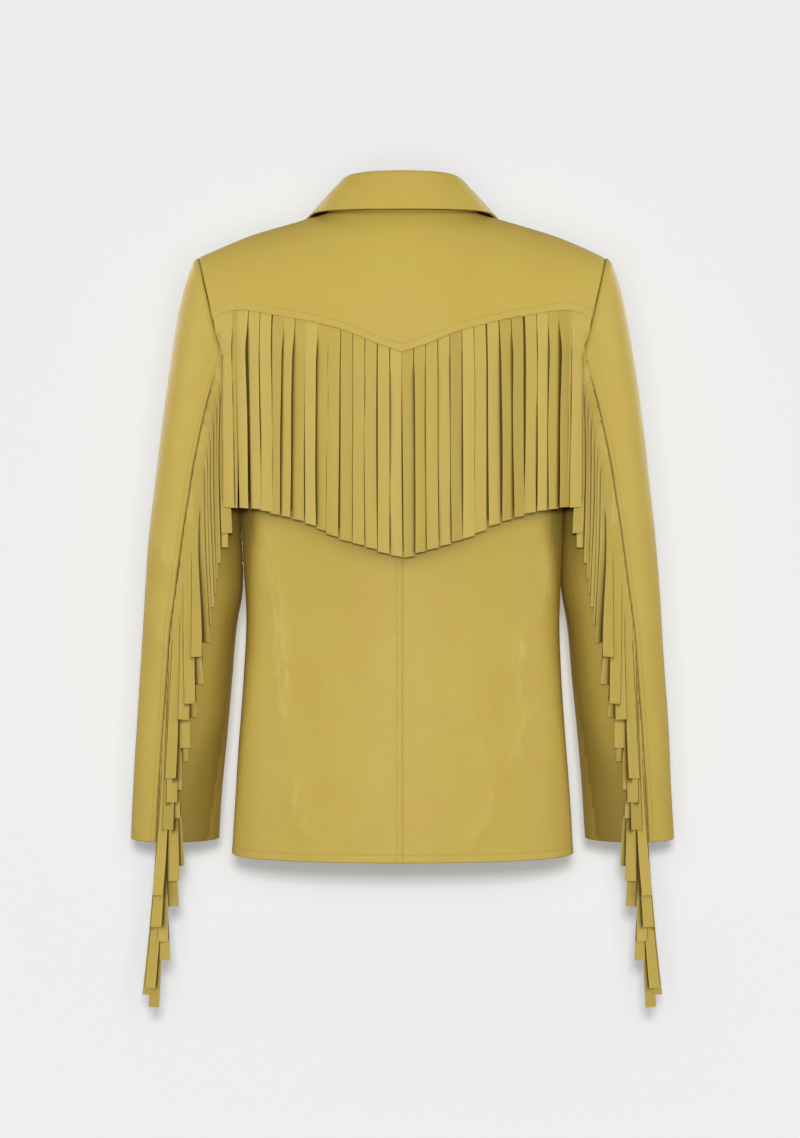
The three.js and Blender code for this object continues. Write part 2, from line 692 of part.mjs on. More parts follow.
// ------------------------------------------------------------------ fringes

const yokeTipZ = through(YOKE_TIPS, "x", "z");

// The yoke fringe's reach. It lies on the back down to the shoulder blades and then hangs plumb.
// u runs from the right armhole to the left, v from the seam to the tips.
function yokeFringeSurface(u, v) {
  const side = Math.abs(lerp(-1, 1, u));
  const { halfTop, halfTip } = YOKE_FRINGE;
  const z = lerp(yokeSeamZ(side * halfTop) - 1, yokeTipZ(side * halfTip), v);
  const height = (z - ARMHOLE.middleZ) / ARMHOLE.rise;
  const seamSide = back.armholeX(Math.max(height, 0)) - 1;
  const x = side * Math.min(lerp(halfTop, halfTip, v), seamSide);
  const lying = back.facing(Math.min(x, seamSide), Math.max(z, ARMHOLE.middleZ));
  return new THREE.Vector3(x * (u < 0.5 ? -1 : 1), lying.y, z);
}

const fringeOuter = through(SLEEVE_FRINGE, "z", "outer");
const fringeInner = through(SLEEVE_FRINGE, "z", "inner");
const FRINGE_LEVELS = SLEEVE_FRINGE.map((row) => row.z).sort((a, b) => b - a);

// The value from low to high at which a falling measure passes a target.
function crossing(measure, target, low, high) {
  for (let round = 0; round < 24; round += 1) {
    const middle = (low + high) / 2;
    if (measure(middle) > target) low = middle;
    else high = middle;
  }
  return (low + high) / 2;
}

// The place on the back of the left sleeve seen from behind at (x, z).
function onSleeveBack(x, z) {
  const along = (degrees) =>
    z <= TUBE_TOP_Z
      ? lerp(HEAD_SHARE, 1, (TUBE_TOP_Z - z) / (TUBE_TOP_Z - CUFF_Z))
      : crossing((v) => sleevePoint(degrees, v).z, z, 0, HEAD_SHARE);
  const degrees = crossing((angle) => sleevePoint(angle, along(angle)).x, x, 30, 150);
  return sleevePoint(degrees, along(degrees));
}

// The sleeve fringe's reach. It lies on the back of the sleeve beside the elbow seam, and below
// the cuff it hangs plumb. u runs from the seam inwards, v from its top to its tips.
function sleeveFringeSurface(mirror) {
  return (u, v) => {
    const z = rowAt(FRINGE_LEVELS, v);
    const rest = Math.max(z, CUFF_Z);
    const { y } = onSleeveBack(lerp(fringeOuter(rest), fringeInner(rest), u), rest);
    return new THREE.Vector3(lerp(fringeOuter(z), fringeInner(z), u) * mirror, y, z);
  };
}

// How far off the sleeve the fringe's outer face is at v.
function sleeveFringeTo(v) {
  const { toAtTop, toBelow, topZ, belowZ } = SLEEVE_FRINGE_WALL;
  return lerp(toAtTop, toBelow, smooth(-rowAt(FRINGE_LEVELS, v), -topZ, -belowZ));
}

// ------------------------------------------------------------------ button

// A dished disc on the right front, turned to face forward.
function buttonGeometry() {
  const { radius, height, dish } = BUTTON;
  const profile = [
    [0, 0],
    [radius - 1.5, 0],
    [radius, 1.2],
    [radius, height - 1],
    [radius - 1, height],
    [radius - 2.6, height],
    [radius - 3.6, height - dish],
    [0, height - dish],
  ].map(([r, h]) => new THREE.Vector2(r, h));
  return new THREE.LatheGeometry(profile, 28);
}

// ------------------------------------------------------------------ the object

const leather = new THREE.MeshStandardMaterial({ color: LEATHER, roughness: 0.45, metalness: 0 });
const horn = new THREE.MeshStandardMaterial({ color: 0x6b5a2a, roughness: 0.35, metalness: 0 });
const blazer = new THREE.Group();

function addPiece(name, geometry, material = leather) {
  geometry.computeVertexNormals();
  const mesh = new THREE.Mesh(geometry, material);
  mesh.name = name;
  blazer.add(mesh);
  return mesh;
}

const STAND_ROWS = [0, 0.15, COLLAR_STAND, 0.35, 0.4, COLLAR_FALL, 0.63, 0.82, 1];
const frontTurns = [15, 30, 45, COLLAR_END.degrees].map((degrees) =>
  lerp(90, COLLAR_END.turn, degrees / COLLAR_END.degrees),
);
const collarTurns = [...NECK_TURNS, ...frontTurns];
const collarColumns = [...collarTurns.slice(1).reverse().map((turn) => -turn), ...collarTurns].map(
  (turn) => (turn / COLLAR_END.turn + 1) / 2,
);
const backColumns = [SEAM_SHARE, ...halfColumns.slice(1)];
const roundSteps = (degrees) => steps(0, 1, degrees / ARMHOLE_STEP);

addPiece("back_yoke", wallOn(yokeSurface, yokeColumns, steps(0, 1, YOKE_DEGREES.length), -1));
addPiece("collar", wallOn(collarSurface, collarColumns, STAND_ROWS, -1, -WALL / 2, WALL / 2));
addPiece(
  "yoke_fringe",
  wallOn(
    yokeFringeSurface,
    steps(0, 1, 22),
    [0, 0.1, 0.25, 0.6, 1],
    1,
    YOKE_FRINGE.off,
    YOKE_FRINGE.off + YOKE_FRINGE.wall,
  ),
);

for (const [side, mirror] of [["left", 1], ["right", -1]]) {
  const add = (name, geometry) => addPiece(`${name}_${side}`, geometry);
  const columns = steps(0, 1, 9);
  add("back", wallOn(backPanelSurface(mirror), backColumns, steps(0, 1, BACK_ROWS.length), mirror));
  add("front", wallOn(frontSurface(mirror), columns, steps(0, 1, FRONT_ROWS), mirror));
  add("lapel", wallOn(lapelSurface(mirror), columns, LAPEL_COLUMNS, mirror, -WALL / 2, WALL / 2));
  add("top_sleeve", wallOn(sleeveSurface(mirror, "top"), roundSteps(210), SLEEVE_ROWS, -mirror));
  add("under_sleeve", wallOn(sleeveSurface(mirror, "under"), roundSteps(150), SLEEVE_ROWS, -mirror));
  add(
    "sleeve_fringe",
    wallOn(
      sleeveFringeSurface(mirror),
      steps(0, 1, 3),
      steps(0, 1, FRINGE_LEVELS.length - 1),
      -mirror,
      SLEEVE_FRINGE_WALL.from,
      sleeveFringeTo,
    ),
  );
}

// The button faces the way the right front does where it is sewn on.
const button = addPiece("button", buttonGeometry(), horn);
const buttonPlace = (z) => frontPlace(0, z, -1);
const slope = buttonPlace(BUTTON.z + BUTTON.radius).sub(buttonPlace(BUTTON.z - BUTTON.radius));
const buttonOut = new THREE.Vector3(0, -slope.z, slope.y).normalize();
button.position.copy(buttonPlace(BUTTON.z)).addScaledVector(buttonOut, 1);
button.quaternion.setFromUnitVectors(new THREE.Vector3(0, 1, 0), buttonOut);

export default blazer;
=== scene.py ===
"""Looks for a leather blazer with a fringed back yoke and fringed sleeve seams.

Sizes inside the classes are millimetres, as a maker notes them, and meshes are metres. The front
faces -Y, the back +Y, and +X is the wearer's left. Every panel is a thin shell laid on the form
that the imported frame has: level rings from the hem to the armholes, and arches over the shoulders.
"""

import logging
import math
from dataclasses import dataclass
from enum import Enum
from typing import Any, Callable, Sequence

import bmesh
import bpy
import numpy as np
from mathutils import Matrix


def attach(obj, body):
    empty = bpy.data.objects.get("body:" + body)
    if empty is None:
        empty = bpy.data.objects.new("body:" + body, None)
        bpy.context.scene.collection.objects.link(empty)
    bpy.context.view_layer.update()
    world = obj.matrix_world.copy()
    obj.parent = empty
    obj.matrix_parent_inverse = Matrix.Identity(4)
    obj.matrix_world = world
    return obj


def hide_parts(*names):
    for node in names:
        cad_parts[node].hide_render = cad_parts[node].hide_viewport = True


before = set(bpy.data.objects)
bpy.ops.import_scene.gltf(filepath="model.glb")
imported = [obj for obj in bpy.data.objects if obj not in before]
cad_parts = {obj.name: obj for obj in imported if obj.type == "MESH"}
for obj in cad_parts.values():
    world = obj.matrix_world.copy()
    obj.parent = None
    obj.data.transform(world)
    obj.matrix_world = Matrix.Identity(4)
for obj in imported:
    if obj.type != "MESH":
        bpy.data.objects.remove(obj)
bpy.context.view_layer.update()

Array = np.ndarray
Pair = tuple[float, float]
Triple = Colour = tuple[float, float, float]
Table = Sequence[tuple[float, ...]]
Surface = Callable[[Array, Array], Array]
Piece, Finish, Socket = bpy.types.Object, bpy.types.Material, bpy.types.NodeSocket
log = logging.getLogger("blazer")

# ---- sizes of the form

MILLIMETRE = 0.001  # in metres
WALL = 1.6  # how thick the leather is
THINNEST = 0.3  # what a dent leaves of it
GAP = 0.3  # between two pieces at a seam
SHOULDER_HALF = 210.6
HEM_Z, CUFF_Z = -664.0, -652.0
SQUARENESS = 2.3  # exponent of the body's level rings, 2 being an ellipse
MIDDLE_Z, ARMHOLE_RISE = -155.0, 109.0  # the armhole's middle, and its half height
ARMHOLE_BACK, ARMHOLE_FRONT = 60.0, 64.0  # its half depths, behind and before its middle
UNDERARM_Z = MIDDLE_Z - ARMHOLE_RISE
NECK_HALF, NECK_BACK = 78.0, 70.0
ROLL_TOP_X, ROLL_TOP_Z, ROLL_TOP_DEGREES = 62.0, -70.0, 60.0
BREAK_X, BREAK_Z = 20.0, -335.0
LAPEL_CLEAR = 1.5  # between the layers at a lapel
# how far the right front stands out below the break, and where it rises: down, down and across
LAP_LOW, LAP_BEGINS, LAP_SETTLES, LAP_ACROSS = 3.0, (130, 262), (352, 420), (-70, -24)
SHOULDER_SEAM = 0.15  # degrees short of the arch's top
SEAM_ROUNDS, ACROSS_ROUNDS, HALVINGS = 12, 8, 30  # how often a place on the form is refined

# z, half width, depth of the back, depth of the front
BODY: Table = (
    (HEM_Z, 176.3, 104, 109), (-600, 173.2, 100, 106), (-540, 169.0, 96, 104),
    (-480, 164.6, 93, 103), (-422, 162.2, 91.5, 104), (-360, 165.0, 94, 110),
    (-310, 167.6, 98.5, 116.5), (UNDERARM_Z, 169.0, 102, 119), (MIDDLE_Z, 169.0, 107, 113),
)
# height on the armhole from -1 to 1, how far out its edge is at the back, and at the front
ARMHOLE_EDGE: Table = (
    (-1, 169, 169), (-0.55, 171, 168.5), (-0.25, 174.5, 170.5), (0, 180.5, 175.5), (0.2, 188, 182),
    (0.38, 193.5, 188.5), (0.59, 199.5, 196.5), (1, SHOULDER_HALF, SHOULDER_HALF),
)
# x, z
SHOULDER_LINE: Table = (
    (0, 41.4), (8, 41), (20, 37.6), (40, 27), (NECK_HALF, 0.5), (100, -6.3), (125, -13.8),
    (158, -23.7), (191, -37), (SHOULDER_HALF, MIDDLE_Z + ARMHOLE_RISE),
)
YOKE_SEAM: Table = (
    (0, -152.2), (26, -143.5), (54, -131.6), (78, -124.9), (98, -119.7), (128, -113.6),
    (152, -108.6), (169, -107.0), (183, -110.0), (193, -115.0),
)
YOKE_TIPS: Table = (
    (0, -358), (13, -354.5), (38, -346.5), (63, -338), (88, -326), (113, -317), (138, -311),
    (185, -304.5),
)
# z, outer side, inner side, middle in y, half depth
SLEEVE: Table = (
    (CUFF_Z, 285.5, 192.6, -31, 50), (-600, 282.4, 188.9, -26, 51), (-540, 278.7, 183.2, -20, 53),
    (-480, 274.2, 177.2, -15, 55), (-430, 270.8, 172.6, -11, 56.5), (-385, 267.6, 165.4, -8, 58),
    (-330, 262.7, 167.2, -5, 60), (-285, 257.7, 169.6, -4, 61),
)
TUBE_TOP_Z = -285.0
# z, degrees round the sleeve: 0 is its outer side and 90 its back
ELBOW_SEAM: Table = (
    (CUFF_Z, 71), (-500, 71.5), (-400, 73.2), (-330, 80.6), (-285, 87.6), (-240, 91),
    (MIDDLE_Z, 90),
)
FRONT_SEAM: Table = ((CUFF_Z, -110), (-285, -112), (-220, -117), (MIDDLE_Z, -120))

# ---- number tools


def lerp(a: Any, b: Any, share: Any) -> Any:
    """Returns the value at a share of the way from a to b."""
    return a + (b - a) * share


def ramp(value: Any, low: float, high: float) -> Array:
    """Returns 0 below low, 1 above high, and a straight rise between them."""
    return np.clip((np.asarray(value, float) - low) / (high - low), 0, 1)


def smooth(value: Any, low: float, high: float) -> Array:
    """Returns 0 below low, 1 above high, and an S-shaped rise between them."""
    t = ramp(value, low, high)
    return t * t * (3 - 2 * t)


def peak(share: Array) -> Array:
    """Returns 0 at both ends of a share, 1 halfway, and straight lines between them."""
    return np.where(share < 0.5, share, 1 - share) * 2


def hump(value: Any, middle: float, width: float) -> Array:
    """Returns a bell that is 1 at its middle and falls to a third one width away."""
    return np.exp(-(((np.asarray(value, float) - middle) / width) ** 2))


def power(value: Any, exponent: float) -> Array:
    """Returns value to a power, taking anything below zero as zero."""
    return np.maximum(value, 0) ** exponent


def points_of(x: Any, y: Any, z: Any) -> Array:
    """Returns an array of points from three arrays of coordinates."""
    return np.stack(np.broadcast_arrays(*(np.asarray(a, float) for a in (x, y, z))), axis=-1)


def unit(vectors: Array) -> Array:
    """Returns the vectors at length 1."""
    return vectors / np.maximum(np.linalg.norm(vectors, axis=-1, keepdims=True), 1e-12)


def distance_along(points: Array, axis: int) -> Array:
    """Returns how far each point of a grid lies from the start of its own line.

    Args:
        points: Grid of points, with their coordinates on the last axis.
        axis: Axis that the lines run along.

    Returns:
        Distances with the grid's shape: the running sum of the lengths of the steps.
    """
    steps = np.linalg.norm(np.diff(points, axis=axis), axis=-1)
    start = np.zeros_like(np.take(steps, [0], axis=axis))
    return np.concatenate([start, np.cumsum(steps, axis=axis)], axis=axis)


def cubic(t: Array) -> tuple[Array, Array, Array, Array]:
    """Returns what a cubic's start, its end, and the slopes at both count for at share t."""
    t2, t3 = t * t, t * t * t
    return 2 * t3 - 3 * t2 + 1, 3 * t2 - 2 * t3, t3 - 2 * t2 + t, t3 - t2


def read_along(line: Array, run: Array, at: Array) -> Array:
    """Returns a line's points, or its normals, at distances along it, run being its own."""
    return np.stack([np.interp(at, run, line[:, i]) for i in range(3)], axis=-1)


class Curve:
    """A smooth line through the rows of a table, level past its ends."""

    def __init__(self, table: Table, column: int = 1) -> None:
        """Fits one column: cubic pieces that have, at each row, the slope across its neighbours.

        Args:
            table: Rows that start with the key.
            column: Column that is the curve's value.
        """
        rows = np.array(sorted(table), float)
        self.key, self.value = rows[:, 0], rows[:, column]
        before = np.maximum(np.arange(len(rows)) - 1, 0)
        after = np.minimum(np.arange(len(rows)) + 1, len(rows) - 1)
        rise = self.value[after] - self.value[before]
        self.slope = rise / (self.key[after] - self.key[before])

    def __call__(self, at: Any) -> Array:
        """Returns the curve's value at each key.

        Args:
            at: Keys.

        Returns:
            The cubic with the two rows' values and slopes at its ends.
        """
        at = np.asarray(at, float)
        i = np.clip(np.searchsorted(self.key, at, side="left") - 1, 0, len(self.key) - 2)
        width = self.key[i + 1] - self.key[i]
        first, last, leaving, arriving = cubic(np.clip((at - self.key[i]) / width, 0, 1))
        ends = self.value[i] * first + self.value[i + 1] * last
        return ends + (self.slope[i] * leaving + self.slope[i + 1] * arriving) * width


# ---- the form


class Side(Enum):
    """The two faces of the body, by the sign of their y."""

    BACK = 1
    FRONT = -1


@dataclass
class Ring:
    """Level rings of one face: half width, depth, and the angle where the panel ends."""

    half: Array
    depth: Array
    end: Array


class Face:
    """The back or the front of the body.

    A place is c, its share of the way from the centre line to the side or armhole, with its
    level z, or above the armhole's middle the degrees that it is short of the shoulder seam.
    """

    def __init__(self, side: Side) -> None:
        """Reads the columns of the tables that belong to one side.

        Args:
            side: Which face of the body this is.
        """
        self.sign = side.value
        back = side is Side.BACK
        self.armhole_depth = ARMHOLE_BACK if back else ARMHOLE_FRONT
        self.half = Curve(BODY, 1)
        self.depth = Curve(BODY, 2 if back else 3)
        self.armhole_x = Curve(ARMHOLE_EDGE, 1 if back else 2)
        self.middle = self.ring(np.array(MIDDLE_Z))

    def ring(self, z: Array) -> Ring:
        """Returns the ring at a level: above the underarm it passes through the armhole's edge.

        Args:
            z: Levels.

        Returns:
            The rings, which are squared ellipses |x/half|^n + |y/depth|^n = 1.
        """
        depth = self.depth(z)
        height = np.clip((z - MIDDLE_Z) / ARMHOLE_RISE, -1, 1)
        edge_y = self.armhole_depth * np.sqrt(1 - height * height)
        share = power(1 - power(edge_y / depth, SQUARENESS), 1 / SQUARENESS)
        share = np.maximum(share, 1e-6)
        below = z <= UNDERARM_Z
        half = np.where(below, self.half(z), self.armhole_x(height) / share)
        end = np.where(below, np.pi / 2, np.arcsin(power(share, SQUARENESS / 2)))
        return Ring(half, depth, end)

    def armhole_at(self, z: Array) -> Array:
        """Returns how far out the armhole's edge is at a level above its middle."""
        return self.armhole_x(np.clip((z - MIDDLE_Z) / ARMHOLE_RISE, 0, 1))

    def on_ring(self, ring: Ring, c: Array) -> tuple[Array, Array]:
        """Returns x and y at share c of a ring: the squared ellipse at angle c times its end."""
        angle = np.abs(c) * ring.end
        x = ring.half * power(np.sin(angle), 2 / SQUARENESS) * np.sign(c)
        return x, ring.depth * power(np.cos(angle), 2 / SQUARENESS) * self.sign

    def share_of(self, ring: Ring, x: Array) -> Array:
        """Returns the share c of a place x on a ring."""
        share = power(np.minimum(np.abs(x) / ring.half, 1), SQUARENESS / 2)
        return np.arcsin(share) / ring.end * np.sign(x)

    def over(self, c: Array, degrees: Array) -> Array:
        """Returns points on the arches over the shoulder.

        Args:
            c: Shares of the way to the armhole.
            degrees: How far short of the shoulder seam, 90 being the armhole's middle.

        Returns:
            Points on quarter ellipses that rise from the middle ring to the shoulder line.
        """
        x, y = self.on_ring(self.middle, c)
        rise = np.cos(np.radians(degrees))
        across = x / self.armhole_x(0)
        top = SHOULDER(np.abs(across) * SHOULDER_HALF)
        z = lerp(MIDDLE_Z, top, rise)
        return points_of(across * self.armhole_x(rise), y * np.sin(np.radians(degrees)), z)

    def degrees_at(self, c: Array, z: Array) -> Array:
        """Returns the degrees short of the shoulder seam at which share c passes level z."""
        x, _ = self.on_ring(self.middle, c)
        top = SHOULDER(np.abs(x) / self.armhole_x(0) * SHOULDER_HALF)
        return np.degrees(np.arccos(np.clip((z - MIDDLE_Z) / (top - MIDDLE_Z), 0, 1)))

    def at(self, c: Any, z: Any) -> Array:
        """Returns the points at shares c and levels z, anywhere from the hem up."""
        c, z = np.broadcast_arrays(np.asarray(c, float), np.asarray(z, float))
        low = points_of(*self.on_ring(self.ring(np.minimum(z, MIDDLE_Z)), c), z)
        return np.where((z > MIDDLE_Z)[..., None], self.over(c, self.degrees_at(c, z)), low)

    def share_at(self, x: Any, z: Any) -> Array:
        """Returns the share c of places x at levels z."""
        x, z = np.broadcast_arrays(np.asarray(x, float), np.asarray(z, float))
        low = self.share_of(self.ring(np.minimum(z, MIDDLE_Z)), x)
        across = x / self.armhole_x(0.5)
        for _ in range(ACROSS_ROUNDS):
            top = SHOULDER(np.abs(across) * SHOULDER_HALF)
            across = x / self.armhole_x((z - MIDDLE_Z) / (top - MIDDLE_Z))
        return np.where(z > MIDDLE_Z, self.share_of(self.middle, across * self.armhole_x(0)), low)

    def facing(self, x: Any, z: Any) -> Array:
        """Returns the points of this face that are seen at (x, z) from straight in front of it."""
        return self.at(self.share_at(x, z), z)


SHOULDER = Curve(SHOULDER_LINE)
YOKE_SEAM_Z = Curve(YOKE_SEAM)
YOKE_TIP_Z = Curve(YOKE_TIPS)
BACK, FRONT = Face(Side.BACK), Face(Side.FRONT)
NECK_SHARE = float(BACK.share_of(BACK.middle, NECK_HALF / SHOULDER_HALF * BACK.armhole_x(0)))
NECK_SHARE_FRONT = float(
    FRONT.share_of(FRONT.middle, NECK_HALF / SHOULDER_HALF * FRONT.armhole_x(0))
)


def back_top(c: Array) -> Array:
    """Returns the degrees at which the back ends at share c: the neckline, or the shoulder seam.

    Args:
        c: Shares of the way to the armhole.

    Returns:
        Degrees short of the shoulder seam, halved between inside and outside an ellipse.
    """

    def outside(degrees: Array) -> Array:
        """Returns whether the points at these degrees are outside the ellipse."""
        p = BACK.over(c, degrees)
        return (p[..., 0] / NECK_HALF) ** 2 + (p[..., 1] / NECK_BACK) ** 2 > 1

    low, high = np.full_like(c, SHOULDER_SEAM), np.full_like(c, 90.0)
    seam = outside(low)
    for _ in range(HALVINGS):
        middle = (low + high) / 2
        out = outside(middle)
        low, high = np.where(out, low, middle), np.where(out, middle, high)
    return np.where(seam, SHOULDER_SEAM, high)


def yoke_seam_at(c: Array) -> Array:
    """Returns the level of the yoke's lower seam at share c."""
    z = np.full_like(c, MIDDLE_Z)
    for _ in range(SEAM_ROUNDS):
        z = YOKE_SEAM_Z(np.abs(BACK.at(c, z)[..., 0]))
    return z


@dataclass
class SleeveForm:
    """The left sleeve: a head that curves out of the armhole into a bent tube."""

    outwards: float = 0.95  # the way that the head leaves the armhole
    backwards: float = 0.2
    downwards: float = 0.25
    steeper: float = 0.12  # further down at its back and its front
    leave: float = 0.26  # how long it keeps that way, and the tube's, as shares of its span
    arrive: float = 0.95
    line_points: int = 241

    def __post_init__(self) -> None:
        """Reads the rings and the seams."""
        self.outer, self.inner = Curve(SLEEVE, 1), Curve(SLEEVE, 2)
        self.y, self.depth = Curve(SLEEVE, 3), Curve(SLEEVE, 4)
        self.elbow, self.front = Curve(ELBOW_SEAM), Curve(FRONT_SEAM)

    def tube(self, degrees: Array, z: Array) -> Array:
        """Returns points on the tube's level ellipses."""
        turn = np.radians(degrees)
        middle, half = (self.outer(z) + self.inner(z)) / 2, (self.outer(z) - self.inner(z)) / 2
        return points_of(middle + half * np.cos(turn), self.y(z) + self.depth(z) * np.sin(turn), z)

    def armhole(self, degrees: Array) -> Array:
        """Returns points on the armhole's edge, by the same degrees as the tube."""
        height, side = np.cos(np.radians(degrees)), np.sin(np.radians(degrees))
        back = side >= 0
        x = np.where(back, BACK.armhole_x(height), FRONT.armhole_x(height))
        y = np.where(back, BACK.armhole_depth, FRONT.armhole_depth) * side
        return points_of(x, y, MIDDLE_Z + ARMHOLE_RISE * height)

    def head(self, degrees: Array, t: Array) -> Array:
        """Returns points of the head: cubic curves from the armhole (t = 0) to the tube (t = 1).

        Args:
            degrees: Place round the sleeve.
            t: Share of the way from the armhole to the top of the tube.

        Returns:
            Points that leave the armhole outwards and join the tube along it.
        """
        start = self.armhole(degrees) + np.array((GAP, 0, 0))
        end = self.tube(degrees, np.full_like(degrees, TUBE_TOP_Z))
        span = np.linalg.norm(end - start, axis=-1, keepdims=True)
        side = np.sin(np.radians(degrees))
        fall = -self.downwards - self.steeper * np.abs(side)
        leave = unit(points_of(self.outwards, self.backwards * side, fall)) * span * self.leave
        below = self.tube(degrees, np.full_like(degrees, TUBE_TOP_Z - 5))
        arrive = unit(below - end) * span * self.arrive
        first, last, leaving, arriving = cubic(np.asarray(t, float)[..., None])
        return start * first + end * last + leave * leaving + arrive * arriving

    def at(self, degrees: Any, v: Any) -> Array:
        """Returns points of the sleeve.

        Args:
            degrees: Place round it.
            v: Place down it: 0 at the armhole, 1 at the top of the tube, 2 at the cuff.

        Returns:
            Points of the head where v is below 1, and of the tube from there on.
        """
        degrees, v = np.broadcast_arrays(np.asarray(degrees, float), np.asarray(v, float))
        head = self.head(degrees, np.clip(v, 0, 1))
        tube = self.tube(degrees, lerp(TUBE_TOP_Z, CUFF_Z, np.clip(v - 1, 0, 1)))
        return np.where((v < 1)[..., None], head, tube)

    def seam(self, angle: Curve, v: Any) -> Array:
        """Returns a seam's degrees at v."""
        return angle(self.at(90.0, v)[..., 2])

    def elbow_line(self) -> Array:
        """Returns closely spaced points of the elbow seam, from the armhole to the cuff."""
        v = np.linspace(0, 2, self.line_points)
        return self.at(self.seam(self.elbow, v), v)


SLEEVE_FORM = SleeveForm()


# ---- cloth laid on a surface

FINE = (0.0, 0.35, 0.8, 1.4, 2.2, 3.2, 4.4, 5.6, 6.6, 7.3, 8.0, 8.8, 10.0, 12.0)
PLAIN = (0.0, 0.35, 0.8, 1.4, 2.2, 3.4, 5.2)
FINE_SHARE = 0.45  # of the way between two breaks that the fine lines of one end may fill
COARSE_COLUMNS, COARSE_ROWS, WEAVE_ROUNDS = 81, 141, 4


class Edge(Enum):
    """The four edges of a cloth: its first and last column, and its first and last row."""

    U0 = 0
    U1 = 1
    V0 = 2
    V1 = 3


@dataclass(frozen=True)
class Spacing:
    """How a grid's lines are spaced one way: fine beside the edges, even between the breaks."""

    pitch: float
    start: tuple[float, ...] = FINE
    end: tuple[float, ...] = FINE
    breaks: tuple[float, ...] = (0.0, 1.0)

    def samples(self, count: int) -> Array:
        """Returns even parameters from 0 to 1, with the breaks among them."""
        return np.unique(np.concatenate([np.linspace(0, 1, count), self.breaks]).round(9))

    def places(self, samples: Array, length: Array) -> Array:
        """Returns the parameters of the grid's lines.

        Args:
            samples: Parameters at which the lengths are known.
            length: Running length at each sample, one row for each line across.

        Returns:
            Parameters for each line across: the wanted distances read back through the lengths.
        """
        marks = length[:, np.searchsorted(samples, np.array(self.breaks).round(9))]
        zones = len(self.breaks) - 1
        parts = []
        for zone in range(zones):
            low, high = marks[:, zone, None], marks[:, zone + 1, None]
            near = np.array(self.start if zone == 0 else (0.0,))
            far = np.array(self.end if zone == zones - 1 else (0.0,))
            scale = np.minimum(1, FINE_SHARE * (high - low) / max(near[-1], far[-1], 0.1))
            first, last = low + near * scale, high - far[::-1] * scale
            middle = (high - low).mean() - near[-1] - far[-1]
            share = np.linspace(0, 1, max(2, round(middle / self.pitch)) + 1)[1:-1]
            inner = lerp(first[:, -1:], last[:, :1], share)
            parts += [first, inner, last if zone == zones - 1 else last[:, :-1]]
        wanted = np.concatenate(parts, axis=1)
        rising = length + samples * 1e-6
        return np.stack([np.interp(w, r, samples) for w, r in zip(wanted, rising)])


def pick(table: Array, samples: Array, at: Array) -> Array:
    """Returns table[:, k] read at at[:, k], between its rows, which stand at the samples."""
    place = np.interp(at, samples, np.arange(len(samples)))
    row = np.clip(place.astype(int), 0, len(samples) - 2)
    column = np.broadcast_to(np.arange(table.shape[1]), at.shape)
    return lerp(table[row, column], table[row + 1, column], place - row)


class Mark(Enum):
    """What a feature tells the leather's finish, by the name of the mesh's attribute."""

    # dark seams, and painted shade in grooves, under fringes and between strands
    TUCK = "tuck"
    # height of hills and creases: a painted highlight on ridges, painted shade in hollows
    RIDGE = "ridge"
    # edge wear, and a painted highlight on edges
    WEAR = "wear"
    TONE = "tone"


class Cloth:
    """A grid of points on a surface, its outward normals, and the distances to its edges."""

    def __init__(self, points: Array, facing: int, mirror: int = 1) -> None:
        """Measures a grid.

        Args:
            points: Grid of points in millimetres: columns, rows, coordinates.
            facing: 1 if columns cross rows points out of the garment, -1 if it points in.
            mirror: -1 if the grid is mirrored to the wearer's right once it is finished.
        """
        self.points, self.facing, self.mirror = points, facing, mirror
        cross = np.cross(np.gradient(points, axis=0), np.gradient(points, axis=1))
        self.normals = unit(cross) * facing
        self.u, self.v = distance_along(points, 0), distance_along(points, 1)
        self.heights = np.zeros(points.shape[:2])
        self.marks = {mark: np.zeros(points.shape[:2]) for mark in Mark}

    @property
    def seen(self) -> Array:
        """Returns the points with their x on the side that they end up on."""
        return self.points * np.array((self.mirror, 1, 1))

    def to(self, edge: Edge) -> Array:
        """Returns each point's distance to an edge, along the grid's lines."""
        along = self.u if edge in (Edge.U0, Edge.U1) else self.v
        if edge is Edge.U1:
            return along[-1:] - along
        return along[:, -1:] - along if edge is Edge.V1 else along

    @staticmethod
    def from_edge(values: Array, edge: Edge) -> Array:
        """Returns values turned so that the edge is their first column and lines run along it."""
        if edge in (Edge.U1, Edge.V1):
            values = values[::-1] if edge is Edge.U1 else values[:, ::-1]
        return np.swapaxes(values, 0, 1) if edge in (Edge.U0, Edge.U1) else values

    def shape(self, features: Sequence["Feature"]) -> None:
        """Adds the features' heights and marks, and leaves the leather a least thickness."""
        for feature in features:
            height = feature.height(self)
            self.heights += height
            if feature.mark is not None:
                self.marks[feature.mark] += np.clip(feature.told(self, height), -1, 1)
        self.heights = np.maximum(self.heights, THINNEST - WALL)

    def face(self, offset: Any = 0.0) -> Array:
        """Returns the outer face's points, raised by the features and an offset."""
        return self.points + self.normals * (self.heights + offset)[..., None]

    def line(self, edge: Edge, distance: float) -> tuple[Array, Array]:
        """Finds the line on the cloth that runs beside an edge.

        Args:
            edge: Edge that the line follows.
            distance: How far from it, in millimetres.

        Returns:
            Points on the outer face and their normals, read between the grid's lines.
        """
        away = self.from_edge(self.to(edge), edge)

        def read(values: Array) -> Array:
            """Returns each line's values at the distance."""
            lines = zip(away, self.from_edge(values, edge))
            return np.array([[np.interp(distance, d, column) for column in p.T] for d, p in lines])

        return read(self.face()), unit(read(self.normals))


